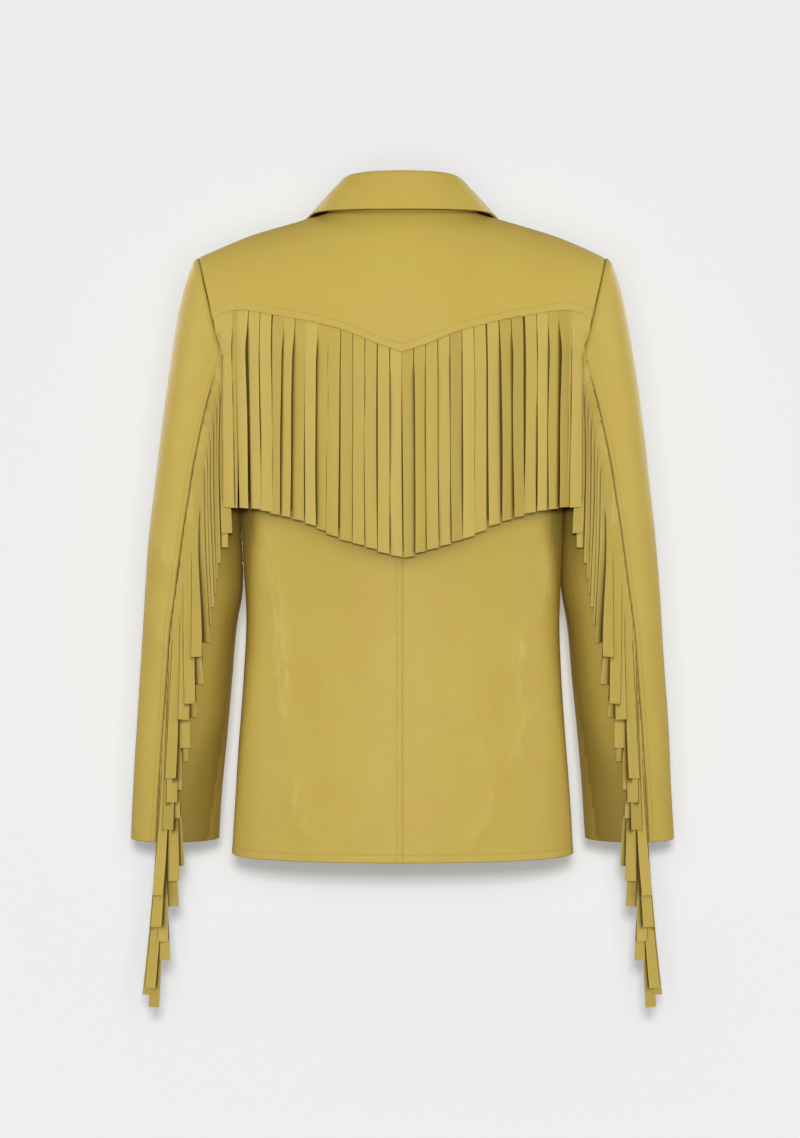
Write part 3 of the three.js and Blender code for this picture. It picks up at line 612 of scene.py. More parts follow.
def weave(surface: Surface, across: Spacing, down: Spacing, facing: int, mirror: int = 1) -> Cloth:
    """Lays a grid on a surface with its lines at even distances.

    Args:
        surface: Gives points for parameters u and v from 0 to 1.
        across: Spacing of the columns, along u.
        down: Spacing of the rows, along v.
        facing: 1 if u cross v points out of the garment, -1 if it points in.
        mirror: -1 for a cloth of the wearer's right side.

    Returns:
        The cloth: lengths on a coarse grid give the parameters, and a few rounds settle them.
    """
    us, vs = across.samples(COARSE_COLUMNS), down.samples(COARSE_ROWS)
    coarse = surface(us[:, None], vs[None, :])
    rows = down.places(vs, distance_along(coarse, 1))
    columns = across.places(us, distance_along(coarse, 0).T)
    u = np.repeat(columns.mean(axis=0)[:, None], rows.shape[1], axis=1)
    for _ in range(WEAVE_ROUNDS):
        v = pick(rows, us, u)
        u = pick(columns, vs, v.T).T
    return Cloth(surface(u, v), facing, mirror)


# ---- features of worked leather


class Feature:
    """Something that raises or lowers the outer face of a cloth."""

    mark: Mark | None = None
    tell = 0.0

    def height(self, cloth: Cloth) -> Array:
        """Returns millimetres outwards for each point of the cloth."""
        return np.zeros(cloth.points.shape[:2])

    def told(self, cloth: Cloth, height: Array) -> Array:
        """Returns what the feature adds to its mark."""
        return height * self.tell


@dataclass(frozen=True)
class Seam(Feature):
    """A sewn seam: the leather dips into it, and swells a little beside it."""

    edge: Edge
    depth: float = 0.55
    swell: float = 0.2
    stain: float = 0.42
    width: float = 1.0
    swell_at: float = 5.0
    swell_width: float = 3.0
    mark = Mark.TUCK

    def fade(self, cloth: Cloth) -> Array:
        """Returns exp(-(d / width)^1.5) for the distance d to the seam."""
        return np.exp(-((cloth.to(self.edge) / self.width) ** 1.5))

    def height(self, cloth: Cloth) -> Array:
        """Returns a dip at the seam, and a low hump beside it."""
        beside = hump(cloth.to(self.edge), self.swell_at, self.swell_width)
        return self.swell * beside - self.depth * self.fade(cloth)

    def told(self, cloth: Cloth, height: Array) -> Array:
        """Returns the seam's stain."""
        return self.stain * self.fade(cloth)


@dataclass(frozen=True)
class PaintedShade(Feature):
    """Painted shade on leather under or beside a fringe, and a painted shadow past its outline."""

    within: Callable[[Array, Array], Array]
    fade: float = 6.0
    sunk: float = 0.0
    dark: float = 0.9
    shadow_past: float = 0.0
    spread: float = 9.0
    mark = Mark.TUCK

    def share(self, cloth: Cloth) -> Array:
        """Returns a share that grows with the distance inside the fringe's outline."""
        x, y, z = np.moveaxis(cloth.points, -1, 0)
        return smooth(self.within(x, z), 0, self.fade) * (y > 0)

    def height(self, cloth: Cloth) -> Array:
        """Returns how far the leather gives way under the fringe."""
        return -self.sunk * self.share(cloth)

    def told(self, cloth: Cloth, height: Array) -> Array:
        """Returns the painted shade, and past the outline a painted shadow, shadow_past
        exp(-(distance / spread)^1.3).
        """
        x, y, z = np.moveaxis(cloth.points, -1, 0)
        past = np.maximum(-self.within(x, z), 0) / self.spread
        shadow_past = self.shadow_past * np.exp(-(past**1.3)) * (y > 0)
        return np.maximum(self.dark * self.share(cloth), shadow_past)


@dataclass(frozen=True)
class RoundedEdge(Feature):
    """A free edge, rounded over."""

    edge: Edge
    radius: float = 0.9
    turned: float = 0.98  # how much of the quarter circle's square it keeps, short of upright
    # The fall over the edge pales the leather: edge wear and a painted highlight.
    mark = Mark.WEAR
    tell = -0.9

    def height(self, cloth: Cloth) -> Array:
        """Returns the fall of a quarter circle beside the edge."""
        into = np.clip(self.radius - cloth.to(self.edge), 0, self.radius)
        return np.sqrt(self.radius**2 - into**2 * self.turned) - self.radius


@dataclass(frozen=True)
class Band(Feature):
    """A turned edge: leather lies double beside it, up to its line of stitches."""

    edge: Edge
    width: float
    rise: float
    fall: float = 2.0

    def height(self, cloth: Cloth) -> Array:
        """Returns an even rise beside the edge that falls off past the band's width."""
        return self.rise * (1 - smooth(cloth.to(self.edge), self.width, self.width + self.fall))


@dataclass(frozen=True)
class Topstitch(Feature):
    """A line of stitches beside an edge, in a shallow groove."""

    edge: Edge
    distance: float
    start: float = 0.0
    end: float = 1.0
    depth: float = 0.32
    width: float = 0.85
    # The groove darkens the leather with painted shade in proportion to its depth.
    mark = Mark.TUCK
    tell = -1.2

    def height(self, cloth: Cloth) -> Array:
        """Returns a groove with a bell's section."""
        return -self.depth * hump(cloth.to(self.edge), self.distance, self.width)


@dataclass(frozen=True)
class Swell(Feature):
    """A soft ridge that runs beside a seam, such as on a sleeve head."""

    edge: Edge
    distance: float
    rise: float
    width: float

    def height(self, cloth: Cloth) -> Array:
        """Returns a bell across the ridge."""
        return self.rise * hump(cloth.to(self.edge), self.distance, self.width)


@dataclass(frozen=True)
class Unevenness(Feature):
    """The gentle hills and hollows of hung leather."""

    seed: int
    rise: float = 0.5
    shortest: float = 42.0
    longest: float = 130.0
    waves: int = 9
    upright: float = 0.45  # how much of a wave's slope runs down the cloth
    # The finish shows its hills as a painted highlight and its hollows as painted shade.
    mark = Mark.RIDGE
    tell = 0.25

    def height(self, cloth: Cloth) -> Array:
        """Returns a sum of waves of seeded lengths and directions, longer down than across."""
        rng = np.random.default_rng(self.seed)
        total = np.zeros(cloth.points.shape[:2])
        for _ in range(self.waves):
            wave = rng.normal(size=3) * (1, 1, self.upright)
            wave *= 2 * np.pi / rng.uniform(self.shortest, self.longest) / np.linalg.norm(wave)
            total += np.sin(cloth.seen @ wave + rng.uniform(0, 2 * np.pi))
        return self.rise * total / np.sqrt(self.waves)


@dataclass(frozen=True)
class Creases(Feature):
    """Creases seen from behind or in front: ridges if they rise, troughs if they fall."""

    creases: Table
    side: Side
    # The finish shows raised creases as a painted highlight and troughs as painted shade.
    mark = Mark.RIDGE
    tell = 0.55

    def height(self, cloth: Cloth) -> Array:
        """Returns the sum of the creases.

        Args:
            cloth: Cloth that they are pressed into.

        Returns:
            For each crease its rise times 1.3 exp(-q^2) - 0.3 exp(-(q / 2.1)^2), a bell between
            shallow hollows, q being the distance to its line in half widths. It is widest
            halfway along and tapers to its ends. Only the side that they are on has them.
        """
        seen = cloth.seen
        total = np.zeros(seen.shape[:2])
        for rise, width, *path in self.creases:
            away, along = self.measure(seen[..., [0, 2]], np.reshape(path, (-1, 2)).astype(float))
            inwards = np.sin(np.pi * np.clip(along, 0, 1))
            q = away / (width * (0.75 + 0.5 * inwards))
            section = 1.3 * np.exp(-q * q) - 0.3 * np.exp(-((q / 2.1) ** 2))
            total += rise * section * inwards**0.6
        faces = cloth.normals[..., 1] * self.side.value
        return total * smooth(faces, -0.1, 0.35)

    @staticmethod
    def measure(places: Array, path: Array) -> tuple[Array, Array]:
        """Measures places against a path of straight pieces.

        Args:
            places: Points in the plane.
            path: The path's corners.

        Returns:
            Distance to the nearest piece, and the share of the way along the whole path there.
        """
        best, share = np.full(places.shape[:-1], 1e9), np.zeros(places.shape[:-1])
        lengths = np.linalg.norm(np.diff(path, axis=0), axis=1)
        start = np.concatenate([[0], np.cumsum(lengths)]) / lengths.sum()
        for i, (a, b) in enumerate(zip(path[:-1], path[1:])):
            t = np.clip(((places - a) @ (b - a)) / lengths[i] ** 2, 0, 1)
            away = np.linalg.norm(places - (a + t[..., None] * (b - a)), axis=-1)
            nearer = away < best
            best = np.where(nearer, away, best)
            share = np.where(nearer, lerp(start[i], start[i + 1], t), share)
        return best, share


# ---- meshes


class Shape:
    """Gathers closed shells in millimetres and writes them as one mesh in metres."""

    def __init__(self) -> None:
        """Starts with nothing."""
        self.points: list[Array] = []
        self.quads: list[Array] = []
        self.skins: list[Array] = []
        self.maps: list[Array] = []
        self.marks: dict[Mark, list[Array]] = {mark: [] for mark in Mark}
        self.count = 0

    def add(
        self, points: Array, quads: Array, skin: Any, uv: Array, marks: dict | None = None
    ) -> None:
        """Adds faces.

        Args:
            points: Vertices in millimetres.
            quads: Four vertex numbers for each face.
            skin: Which material each face has, or one number for all.
            uv: A place on the flat leather for each vertex, in millimetres.
            marks: Values at each vertex for the finish.
        """
        self.points.append(points)
        self.quads.append(quads + self.count)
        self.skins.append(np.broadcast_to(np.asarray(skin), len(quads)))
        self.maps.append(uv)
        for mark, values in self.marks.items():
            given = (marks or {}).get(mark)
            values.append(np.zeros(len(points)) if given is None else given.ravel())
        self.count += len(points)

    def wall(
        self, cloth: Cloth, outer: Array, inner: Array, lined: bool = False, painted_inner_shade: float = 0.0
    ) -> None:
        """Adds a closed wall between two grids: both faces and the four rims between them.

        Args:
            cloth: Cloth that the grids belong to, for its side, its marks and its flat places.
            outer: Grid of the outer face.
            inner: Grid of the inner face.
            lined: Whether the inner face takes the second material.
            painted_inner_shade: Least painted shade at the inner face, which darkens the rims, from
                0 to 1.
        """
        columns, rows = outer.shape[:2]
        index = np.arange(columns * rows).reshape(columns, rows)
        under = index + columns * rows

        def quads(*corners: Array) -> Array:
            """Returns faces from four grids of corners."""
            return np.stack([corner.ravel() for corner in corners], axis=1)

        out = quads(index[:-1, :-1], index[1:, :-1], index[1:, 1:], index[:-1, 1:])
        inside = quads(under[:-1, :-1], under[:-1, 1:], under[1:, 1:], under[1:, :-1])
        rims = [
            quads(index[:-1, 0], under[:-1, 0], under[1:, 0], index[1:, 0]),
            quads(index[:-1, -1], index[1:, -1], under[1:, -1], under[:-1, -1]),
            quads(index[0, :-1], index[0, 1:], under[0, 1:], under[0, :-1]),
            quads(index[-1, :-1], under[-1, :-1], under[-1, 1:], index[-1, 1:]),
        ]
        faces = np.concatenate([out, inside, *rims])
        if cloth.facing * cloth.mirror < 0:
            faces = faces[:, ::-1]
        skin = np.zeros(len(faces), int)
        if lined:
            skin[len(out) : len(out) + len(inside)] = 1
        points = np.concatenate([outer.reshape(-1, 3), inner.reshape(-1, 3)])
        points = points * np.array((cloth.mirror, 1, 1))
        uv = np.stack([cloth.u.ravel(), cloth.v.ravel()], axis=1)
        marks = {mark: np.tile(values.ravel(), 2) for mark, values in cloth.marks.items()}
        # painted shade on the inner face's vertices, which the rims blend into
        hidden = marks[Mark.TUCK][outer.size // 3 :]
        hidden[:] = np.maximum(hidden, painted_inner_shade)
        self.add(points, faces, skin, np.concatenate([uv, uv]), marks)

    def finish(self, name: str, materials: Sequence[Finish], sharp: float = 50.0) -> Piece:
        """Writes the mesh and returns its object.

        Args:
            name: Name of the piece.
            materials: Materials by their number.
            sharp: Angle in degrees past which an edge is drawn sharp.

        Returns:
            The piece, linked to the scene.
        """
        points = np.concatenate(self.points) * MILLIMETRE
        quads = np.concatenate(self.quads).astype(np.int32)
        mesh = bpy.data.meshes.new(name)
        mesh.vertices.add(len(points))
        mesh.vertices.foreach_set("co", points.astype(np.float32).ravel())
        mesh.loops.add(quads.size)
        mesh.loops.foreach_set("vertex_index", quads.ravel())
        mesh.polygons.add(len(quads))
        mesh.polygons.foreach_set("loop_start", np.arange(0, quads.size, 4, dtype=np.int32))
        mesh.polygons.foreach_set("material_index", np.concatenate(self.skins).astype(np.int32))
        mesh.polygons.foreach_set("use_smooth", np.ones(len(quads), bool))
        uv = np.concatenate(self.maps)[quads.ravel()] * MILLIMETRE
        mesh.uv_layers.new(name="flat").uv.foreach_set("vector", uv.astype(np.float32).ravel())
        for mark, values in self.marks.items():
            layer = mesh.attributes.new(mark.value, "FLOAT", "POINT")
            layer.data.foreach_set("value", np.concatenate(values).astype(np.float32))
        for material in materials:
            mesh.materials.append(material)
        mesh.update(calc_edges=True)
        mesh.validate()
        mesh.set_sharp_from_angle(angle=math.radians(sharp))
        piece = bpy.data.objects.new(name, mesh)
        bpy.context.scene.collection.objects.link(piece)
        return piece


@dataclass(frozen=True)
class Stitching:
    """Machine stitches: short lozenges of thread, sunk at both ends."""

    pitch: float = 3.6
    length: float = 2.7
    thickness: float = 0.45
    # share of its half length, share of its thickness, and how far it stands out there
    profile: Table = (
        (-1, 0.45, -0.28), (-0.62, 0.9, 0.02), (0, 1, 0.12), (0.62, 0.9, 0.02), (1, 0.45, -0.28),
    )
    sides: int = 6

    def sew(self, shape: Shape, points: Array, normals: Array, mirror: int) -> None:
        """Adds a line of stitches.

        Args:
            shape: Shape that the stitches are added to.
            points: The line that they follow, in millimetres.
            normals: Outward normals along it.
            mirror: -1 to mirror the line to the wearer's right.
        """
        run = distance_along(points, 0)
        middles = np.arange(self.pitch, run[-1] - self.pitch, self.pitch)
        if len(middles) == 0:
            return

        share, girth, rise = np.array(self.profile).T
        girth = girth * self.thickness / 2
        at = middles[:, None] + share * self.length / 2
        centre = read_along(points, run, at)
        up = unit(read_along(normals, run, at))
        forward = unit(read_along(points, run, at + 0.2) - read_along(points, run, at - 0.2))
        aside = unit(np.cross(forward, up))
        turns = np.radians(np.arange(self.sides) * 360.0 / self.sides)
        ring = (
            centre[:, :, None]
            + up[:, :, None] * rise[:, None, None]
            + aside[:, :, None] * (np.cos(turns)[:, None] * girth[:, None, None])
            + up[:, :, None] * (np.sin(turns)[:, None] * girth[:, None, None])
        )
        index = np.arange(ring.size // 3).reshape(ring.shape[:3])
        after = np.roll(index, -1, axis=2)
        side = [index[:, :-1], index[:, 1:], after[:, 1:], after[:, :-1]]
        caps = [index[:, 0, [0, 1, 2, 3]], index[:, 0, [0, 3, 4, 5]]]
        caps += [index[:, -1, [3, 2, 1, 0]], index[:, -1, [5, 4, 3, 0]]]
        quads = np.concatenate([np.stack(side, axis=-1).reshape(-1, 4), *caps])
        if mirror < 0:
            quads = quads[:, ::-1]
        flat = np.stack(np.broadcast_arrays(at[:, :, None], np.arange(self.sides) * 0.3), axis=-1)
        placed = ring.reshape(-1, 3) * np.array((mirror, 1, 1))
        shape.add(placed, quads, 0, flat.reshape(-1, 2))


# ---- finishes


class Value:
    """A number worked out in a shader: + - * / on it add Math nodes."""

    def __init__(self, shader: "Shader", socket: Socket) -> None:
        """Wraps an output socket of one of the shader's nodes."""
        self.shader, self.socket = shader, socket

    def maths(self, operation: str, *others: Any) -> "Value":
        """Returns the result of a Math node whose first input is this value."""
        inputs = dict(enumerate((self, *others)))
        return self.shader.node("ShaderNodeMath", {"operation": operation}, inputs)

    def __add__(self, other: Any) -> "Value":
        """Returns the sum."""
        return self.maths("ADD", other)

    def __sub__(self, other: Any) -> "Value":
        """Returns the difference."""
        return self.maths("SUBTRACT", other)

    def __rsub__(self, other: Any) -> "Value":
        """Returns the difference from a plain number."""
        return self.maths("MULTIPLY", -1.0).maths("ADD", other)

    def __mul__(self, other: Any) -> "Value":
        """Returns the product."""
        return self.maths("MULTIPLY", other)

    __radd__ = __add__
    __rmul__ = __mul__

    def between(self, low: float, high: float) -> "Value":
        """Returns 0 below low, 1 above high, and a smooth rise between them."""
        settings = {"interpolation_type": "SMOOTHSTEP"}
        inputs = {"Value": self, "From Min": low, "From Max": high}
        return self.shader.node("ShaderNodeMapRange", settings, inputs)


class Shader:
    """A material's node tree, and the few ways that nodes are added to it."""

    def __init__(self, name: str) -> None:
        """Starts a material with one principled surface.

        Args:
            name: Name of the material.
        """
        self.material = bpy.data.materials.new(name)
        self.material.use_nodes = True
        self.tree = self.material.node_tree
        self.surface = self.tree.nodes["Principled BSDF"]
        self.place = self.node("ShaderNodeTexCoord", output="Object")

    def node(
        self,
        kind: str,
        settings: dict[str, Any] | None = None,
        inputs: dict[Any, Any] | None = None,
        output: Any = 0,
    ) -> Value:
        """Adds a node.

        Args:
            kind: Type of the node.
            settings: Its properties, set first.
            inputs: Values or links of its sockets, by name, identifier or number.
            output: Name, identifier or number of the output to return.

        Returns:
            The output, ready for more maths.
        """
        node = self.tree.nodes.new(kind)
        for name, value in (settings or {}).items():
            setattr(node, name, value)
        for key, value in (inputs or {}).items():
            self.feed(self.socket(node.inputs, key), value)
        return Value(self, self.socket(node.outputs, output))

    @staticmethod
    def socket(sockets: Any, key: Any) -> Socket:
        """Returns a socket by its number, its identifier or its name."""
        if isinstance(key, int):
            return sockets[key]
        named = [s for s in sockets if s.identifier == key]
        return named[0] if named else sockets[key]

    def feed(self, socket: Socket, value: Any) -> None:
        """Links a value to a socket, or sets the socket's own number, vector or colour."""
        if isinstance(value, Value):
            self.tree.links.new(value.socket, socket)
        else:
            socket.default_value = (*value, 1.0) if socket.type == "RGBA" else value

    def noise(self, scale: float, detail: float = 2.0, stretch: Colour = (1, 1, 1)) -> Value:
        """Returns noise on object coordinates, from 0 to 1.

        Args:
            scale: Waves in a metre.
            detail: How many finer layers it has.
            stretch: Factors on the scale along x, y and z.

        Returns:
            The noise.
        """
        place = self.place
        if stretch != (1, 1, 1):
            place = self.node("ShaderNodeMapping", None, {"Vector": place, "Scale": stretch})
        inputs = {"Vector": place, "Scale": scale, "Detail": detail, "Roughness": 0.55}
        return self.node("ShaderNodeTexNoise", None, inputs)

    def cells(self, scale: float) -> Value:
        """Returns the distance to the nearest cell's middle, a pebbled pattern."""
        settings = {"feature": "SMOOTH_F1"}
        inputs = {"Vector": self.place, "Scale": scale, "Smoothness": 0.6}
        return self.node("ShaderNodeTexVoronoi", settings, inputs, "Distance")

    def mark(self, mark: Mark) -> Value:
        """Returns a mark of the mesh."""
        return self.node("ShaderNodeAttribute", {"attribute_name": mark.value}, None, "Fac")

    def blend(self, share: Any, first: Any, second: Any) -> Value:
        """Returns a colour between two, by a share from 0 to 1."""
        settings = {"data_type": "RGBA", "blend_type": "MIX", "clamp_factor": True}
        inputs = {"Factor_Float": share, "A_Color": first, "B_Color": second}
        return self.node("ShaderNodeMix", settings, inputs, "Result_Color")

    def set(self, **sockets: Any) -> None:
        """Sets or links the surface's sockets, named with _ for a space."""
        for name, value in sockets.items():
            self.feed(self.surface.inputs[name.replace("_", " ")], value)

    def raise_by(self, height: Value) -> None:
        """Gives the surface a relief, with its height in metres."""
        inputs = {"Height": height, "Strength": 1.0, "Distance": 1.0}
        self.set(Normal=self.node("ShaderNodeBump", None, inputs, "Normal"))


@dataclass(frozen=True)
class Leather:
    """Dyed, lightly pebbled leather with darker seams, a painted highlight on its ridges, and
    painted shade.
    """

    name: str
    colour: Colour
    warm: Colour
    pale: Colour
    deep: Colour
    roughness: float = 0.55
    grain: float = 620.0
    grain_height: float = 0.00011
    crinkle_height: float = 0.0005
    cloud_height: float = 0.0006
    stretch: float = 0.32  # how much slower the crinkles change down the garment
    patches: float = 0.7  # from here on, how much each of these shows in the colour
    # ridges: painted highlight; edges: wear and a painted highlight
    ridges: float = 0.45
    edges: float = 0.35
    clouds: float = 0.2
    pale_tones: float = 0.45
    # seams: dark seams and painted shade; hollows: painted shade
    seams: float = 0.92
    hollows: float = 0.12
    specks: float = 0.07
    deep_tones: float = 0.14

    def make(self) -> Finish:
        """Returns the material.

        Returns:
            Colour: soft patches of the warm dye; a painted highlight on crinkled ridges; edges paler
                with wear and a painted highlight; darker seams, and painted shade in hollows,
                grooves and
                covered places. Relief: pebbles, pores, and crinkles that gather on ridges and run
                    down them.
        """
        s = Shader(self.name)
        patch = s.noise(17, 3).between(0.32, 0.70)
        cloud = s.noise(58, 3)
        speck = s.noise(900, 2)
        tuck, ridge, wear = (s.mark(mark) for mark in (Mark.TUCK, Mark.RIDGE, Mark.WEAR))
        broken = s.noise(150, 3, (1.0, 1.0, self.stretch))
        colour = s.blend(patch * self.patches, self.colour, self.warm)
        tone = s.mark(Mark.TONE)
        # painted highlight on crinkled ridges, and edges paler with wear and a painted highlight
        lit = ridge.between(0.12, 1.1) * broken.between(0.40, 0.62)
        light = lit * self.ridges + wear * self.edges + (cloud - 0.5) * self.clouds
        light = light + tone.between(0.0, 1.0) * self.pale_tones
        colour = s.blend(light, colour, self.pale)
        # darker seams, painted shade from the marks and in hollows, specks, and deeper random tones
        low = tuck * self.seams + (ridge * -1.0).between(0.15, 1.3) * self.hollows
        low = low + (0.5 - speck) * self.specks + (tone * -1.0).between(0.0, 1.0) * self.deep_tones
        colour = s.blend(low, colour, self.deep)
        pebbles = s.cells(self.grain) * self.grain_height
        pores = speck * (self.grain_height * 0.55)
        crinkle = broken * s.noise(420, 2, (1.0, 1.0, 0.45))
        crinkle = crinkle * (ridge.between(0.05, 1.0) * 0.85 + 0.15) * self.crinkle_height
        s.raise_by(pebbles + pores + crinkle + cloud * self.cloud_height)
        rough = (speck - 0.5) * 0.10 + (cloud - 0.5) * 0.12 + tuck * 0.15 + self.roughness
        s.set(Base_Color=colour, Roughness=rough, Specular_IOR_Level=0.26)
        return s.material


@dataclass(frozen=True)
class TwoTone:
    """A finish between two colours."""

    name: str
    colour: Colour
    deep: Colour


class Suede(TwoTone):
    """The flesh side of the leather, matt and fibrous."""

    def make(self) -> Finish:
        """Returns the material: mottled, rough, with a short nap."""
        s = Shader(self.name)
        nap, patch = s.noise(1500, 4, (1.0, 1.0, 0.5)), s.noise(40, 3)
        s.raise_by(nap * 0.0002)
        colour = s.blend(patch * 0.5 + nap * 0.4, self.colour, self.deep)
        s.set(Base_Color=colour, Roughness=nap * 0.1 + 0.84, Specular_IOR_Level=0.15)
        return s.material


class Thread(TwoTone):
    """Twisted sewing thread."""

    def make(self) -> Finish:
        """Returns the material: plies that wind round the thread."""
        s = Shader(self.name)
        flat = s.node("ShaderNodeUVMap", {"uv_map": "flat"})
        settings = {"wave_type": "BANDS", "bands_direction": "DIAGONAL"}
        inputs = {"Vector": flat, "Scale": 420.0, "Distortion": 0.5}
        ply = s.node("ShaderNodeTexWave", settings, inputs, "Fac")
        s.raise_by(ply * 0.00006)
        s.set(Base_Color=s.blend(ply, self.deep, self.colour), Roughness=ply * 0.1 + 0.5)
        return s.material


class Horn(TwoTone):
    """Polished horn with streaks of darker brown."""

    def make(self) -> Finish:
        """Returns the material: wandering streaks under a clear polish."""
        s = Shader(self.name)
        streak = s.noise(210, 5, (0.35, 1.0, 1.0)).between(0.35, 0.66)
        fleck = s.noise(1800, 2)
        s.raise_by(fleck * 0.00002)
        colour = s.blend(streak * 0.9 + (fleck - 0.5) * 0.2, self.colour, self.deep)
        s.set(Base_Color=colour, Roughness=fleck * 0.12 + 0.2, Coat_Weight=0.5)
        return s.material


HIDE = Leather(
    "mustard_leather",
    colour=(0.555, 0.410, 0.078),
    warm=(0.555, 0.386, 0.074),
    pale=(0.66, 0.51, 0.15),
    deep=(0.085, 0.050, 0.006),
)
STRANDS = Leather(
    "fringe_leather",
    colour=(0.508, 0.372, 0.071),
    warm=(0.52, 0.366, 0.068),
    pale=(0.64, 0.485, 0.13),
    deep=(0.085, 0.050, 0.006),
    roughness=0.58,
    crinkle_height=0.0003,
)
FLESH = Suede("leather_flesh_side", colour=(0.48, 0.355, 0.15), deep=(0.35, 0.25, 0.095))
SEWING = Thread("sewing_thread", colour=(0.60, 0.445, 0.12), deep=(0.30, 0.21, 0.05))
HORN = Horn("button_horn", colour=(0.30, 0.19, 0.065), deep=(0.075, 0.038, 0.014))


# ---- the workshop


@dataclass(frozen=True)
class Cut:
    """The flat size that a cloth is cut to, in metres, and its area in square metres."""

    width: float
    length: float
    area: float
    held: str = "draped"
    rests_on: tuple[str, ...] = ()


class Workshop:
    """Holds the finishes, and does what is done to every piece."""

    def __init__(self) -> None:
        """Makes the finishes."""
        self.leather, self.flesh, self.strands = HIDE.make(), FLESH.make(), STRANDS.make()
        self.thread, self.horn, self.stitching = SEWING.make(), HORN.make(), Stitching()

    def place(self, piece: Piece, slot: str, *nodes: str) -> None:
        """Hands a piece to the frame.

        Args:
            piece: The finished piece.
            slot: Not used.
            nodes: Nodes that it stands for.
        """
        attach(piece, "root")
        if nodes:
            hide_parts(*nodes)
        faces = sum(len(polygon.vertices) - 2 for polygon in piece.data.polygons)
        log.info("%s: %d triangles", piece.name, faces)

    @staticmethod
    def declare(piece: Piece, cut: Cut, sewn_on: Sequence[Piece] = ()) -> None:
        """Reads how a sheet was cut and what is sewn on it, and does nothing with them."""
        list(cut.rests_on)
        list(sewn_on)

    def fringe(self, shape: Shape, name: str, node: str, cut: Cut) -> None:
        """Finishes a fringe's strands.

        Args:
            shape: The strands.
            name: Name of the piece.
            node: Node that it stands for.
            cut: The strip.
        """
        piece = shape.finish(name, (self.strands, self.flesh))
        self.place(piece, "fringe", node)
        self.declare(piece, cut)

    def panel(
        self,
        node: str,
        cloth: Cloth,
        features: Sequence[Feature],
        cut: Cut,
        out: float = 0.0,
        lined: bool = True,
    ) -> None:
        """Makes a leather panel and its stitches.

        Args:
            node: Node that the panel stands for.
            cloth: The grid that it is laid on.
            features: What is sewn and pressed into it.
            cut: The flat size that it was cut to.
            out: How far its outer face stands off the grid, in millimetres.
            lined: Whether its inner face is the leather's flesh side.
        """
        cloth.shape(features)
        shape = Shape()
        inner = cloth.points + cloth.normals * (out - WALL)
        shape.wall(cloth, cloth.face(out), inner, lined)
        piece = shape.finish(f"{node}_panel", (self.leather, self.flesh))
        self.place(piece, "leather", node)
        sewn = Shape()
        for feature in features:
            if isinstance(feature, Topstitch):
                points, normals = cloth.line(feature.edge, feature.distance)
                count = len(points)
                part = slice(int(feature.start * count), max(2, int(feature.end * count)))
                points = points + normals * out
                self.stitching.sew(sewn, points[part], normals[part], cloth.mirror)
        stitches = []
        if sewn.count:
            stitches = [sewn.finish(f"{node}_stitches", (self.thread,), 80)]
            self.place(stitches[0], "leather")
        self.declare(piece, cut, stitches)


# ---- the body's panels


@dataclass
class Yoke:
    """The back yoke: one piece, pointed below, with its lower edge turned and topstitched."""

    pitch: float = 4.0
    edge_rise: float = 0.85
    edge_width: float = 6.8
    edge_fall: float = 15.0
    stitch_line: float = 8.0
    cut: Cut = Cut(0.445, 0.205, 0.0595, "draped", ("back_left", "back_right"))

    def surface(self, u: Array, v: Array) -> Array:
        """Returns points: u runs from armhole to armhole, v from the seam to the neck."""
        c = lerp(-1, 1, u) + 0 * v
        bottom = BACK.degrees_at(c, yoke_seam_at(c))
        return BACK.over(c, lerp(bottom, back_top(c), v))

    def build(self, shop: Workshop) -> None:
        """Makes the yoke."""
        cloth = weave(self.surface, Spacing(self.pitch), Spacing(self.pitch, end=PLAIN), -1)
        features = [
            Seam(Edge.U0),
            Seam(Edge.U1),
            Seam(Edge.V1),
            Band(Edge.V0, self.edge_width, self.edge_rise, self.edge_fall),
            RoundedEdge(Edge.V0, 0.8),
            Topstitch(Edge.V0, self.stitch_line, depth=0.06),
            Unevenness(11, 0.35),
        ]
        shop.panel("back_yoke", cloth, features, self.cut)


# height, half width, then x and z of each corner of the line that the crease follows
BACK_CREASES: Table = (
    (1.9, 9, 134, -352, 126, -400, 121, -470, 119, -520, 117, -566),
    (1.6, 8, 118, -560, 110, -590, 104, -622, 92, -652),
    (1.2, 9, 22, -612, 48, -634, 72, -656),
    (1.0, 11, 143, -300, 138, -340, 140, -400),
    (-1.0, 12, 96, -455, 90, -520, 93, -590),
    (0.6, 15, 62, -380, 66, -450, 60, -520),
    (1.4, 8, -148, -340, -146, -380, -140, -428),
    (1.9, 7.5, -126, -418, -119, -455, -118, -505),
    (1.6, 8, -121, -498, -117, -530, -107, -588),
    (1.4, 8, -44, -486, -66, -510, -84, -536, -84, -580),
    (1.4, 7.5, -84, -560, -92, -590, -84, -622, -68, -654),
    (-0.9, 11, -100, -440, -98, -500, -104, -560),
    (0.5, 15, -40, -390, -46, -440, -40, -480),
)
FRONT_CREASES: Table = (
    (1.3, 11, 112, -250, 120, -300, 116, -360, 120, -420),
    (1.1, 10, 64, -360, 92, -400, 126, -430),
    (0.9, 12, 40, -376, 84, -372, 128, -384),
    (1.4, 9, 96, -470, 90, -540, 98, -610, 92, -655),
    (-0.8, 13, 58, -430, 54, -500, 60, -570),
    (1.2, 10, -56, -370, -90, -396, -128, -420),
    (1.2, 11, -112, -240, -122, -290, -118, -350),
    (1.5, 9, -98, -440, -104, -510, -96, -580, -100, -640),
    (0.9, 12, -44, -420, -70, -470, -76, -540),
    (-0.9, 11, -60, -560, -66, -610, -58, -656),
)


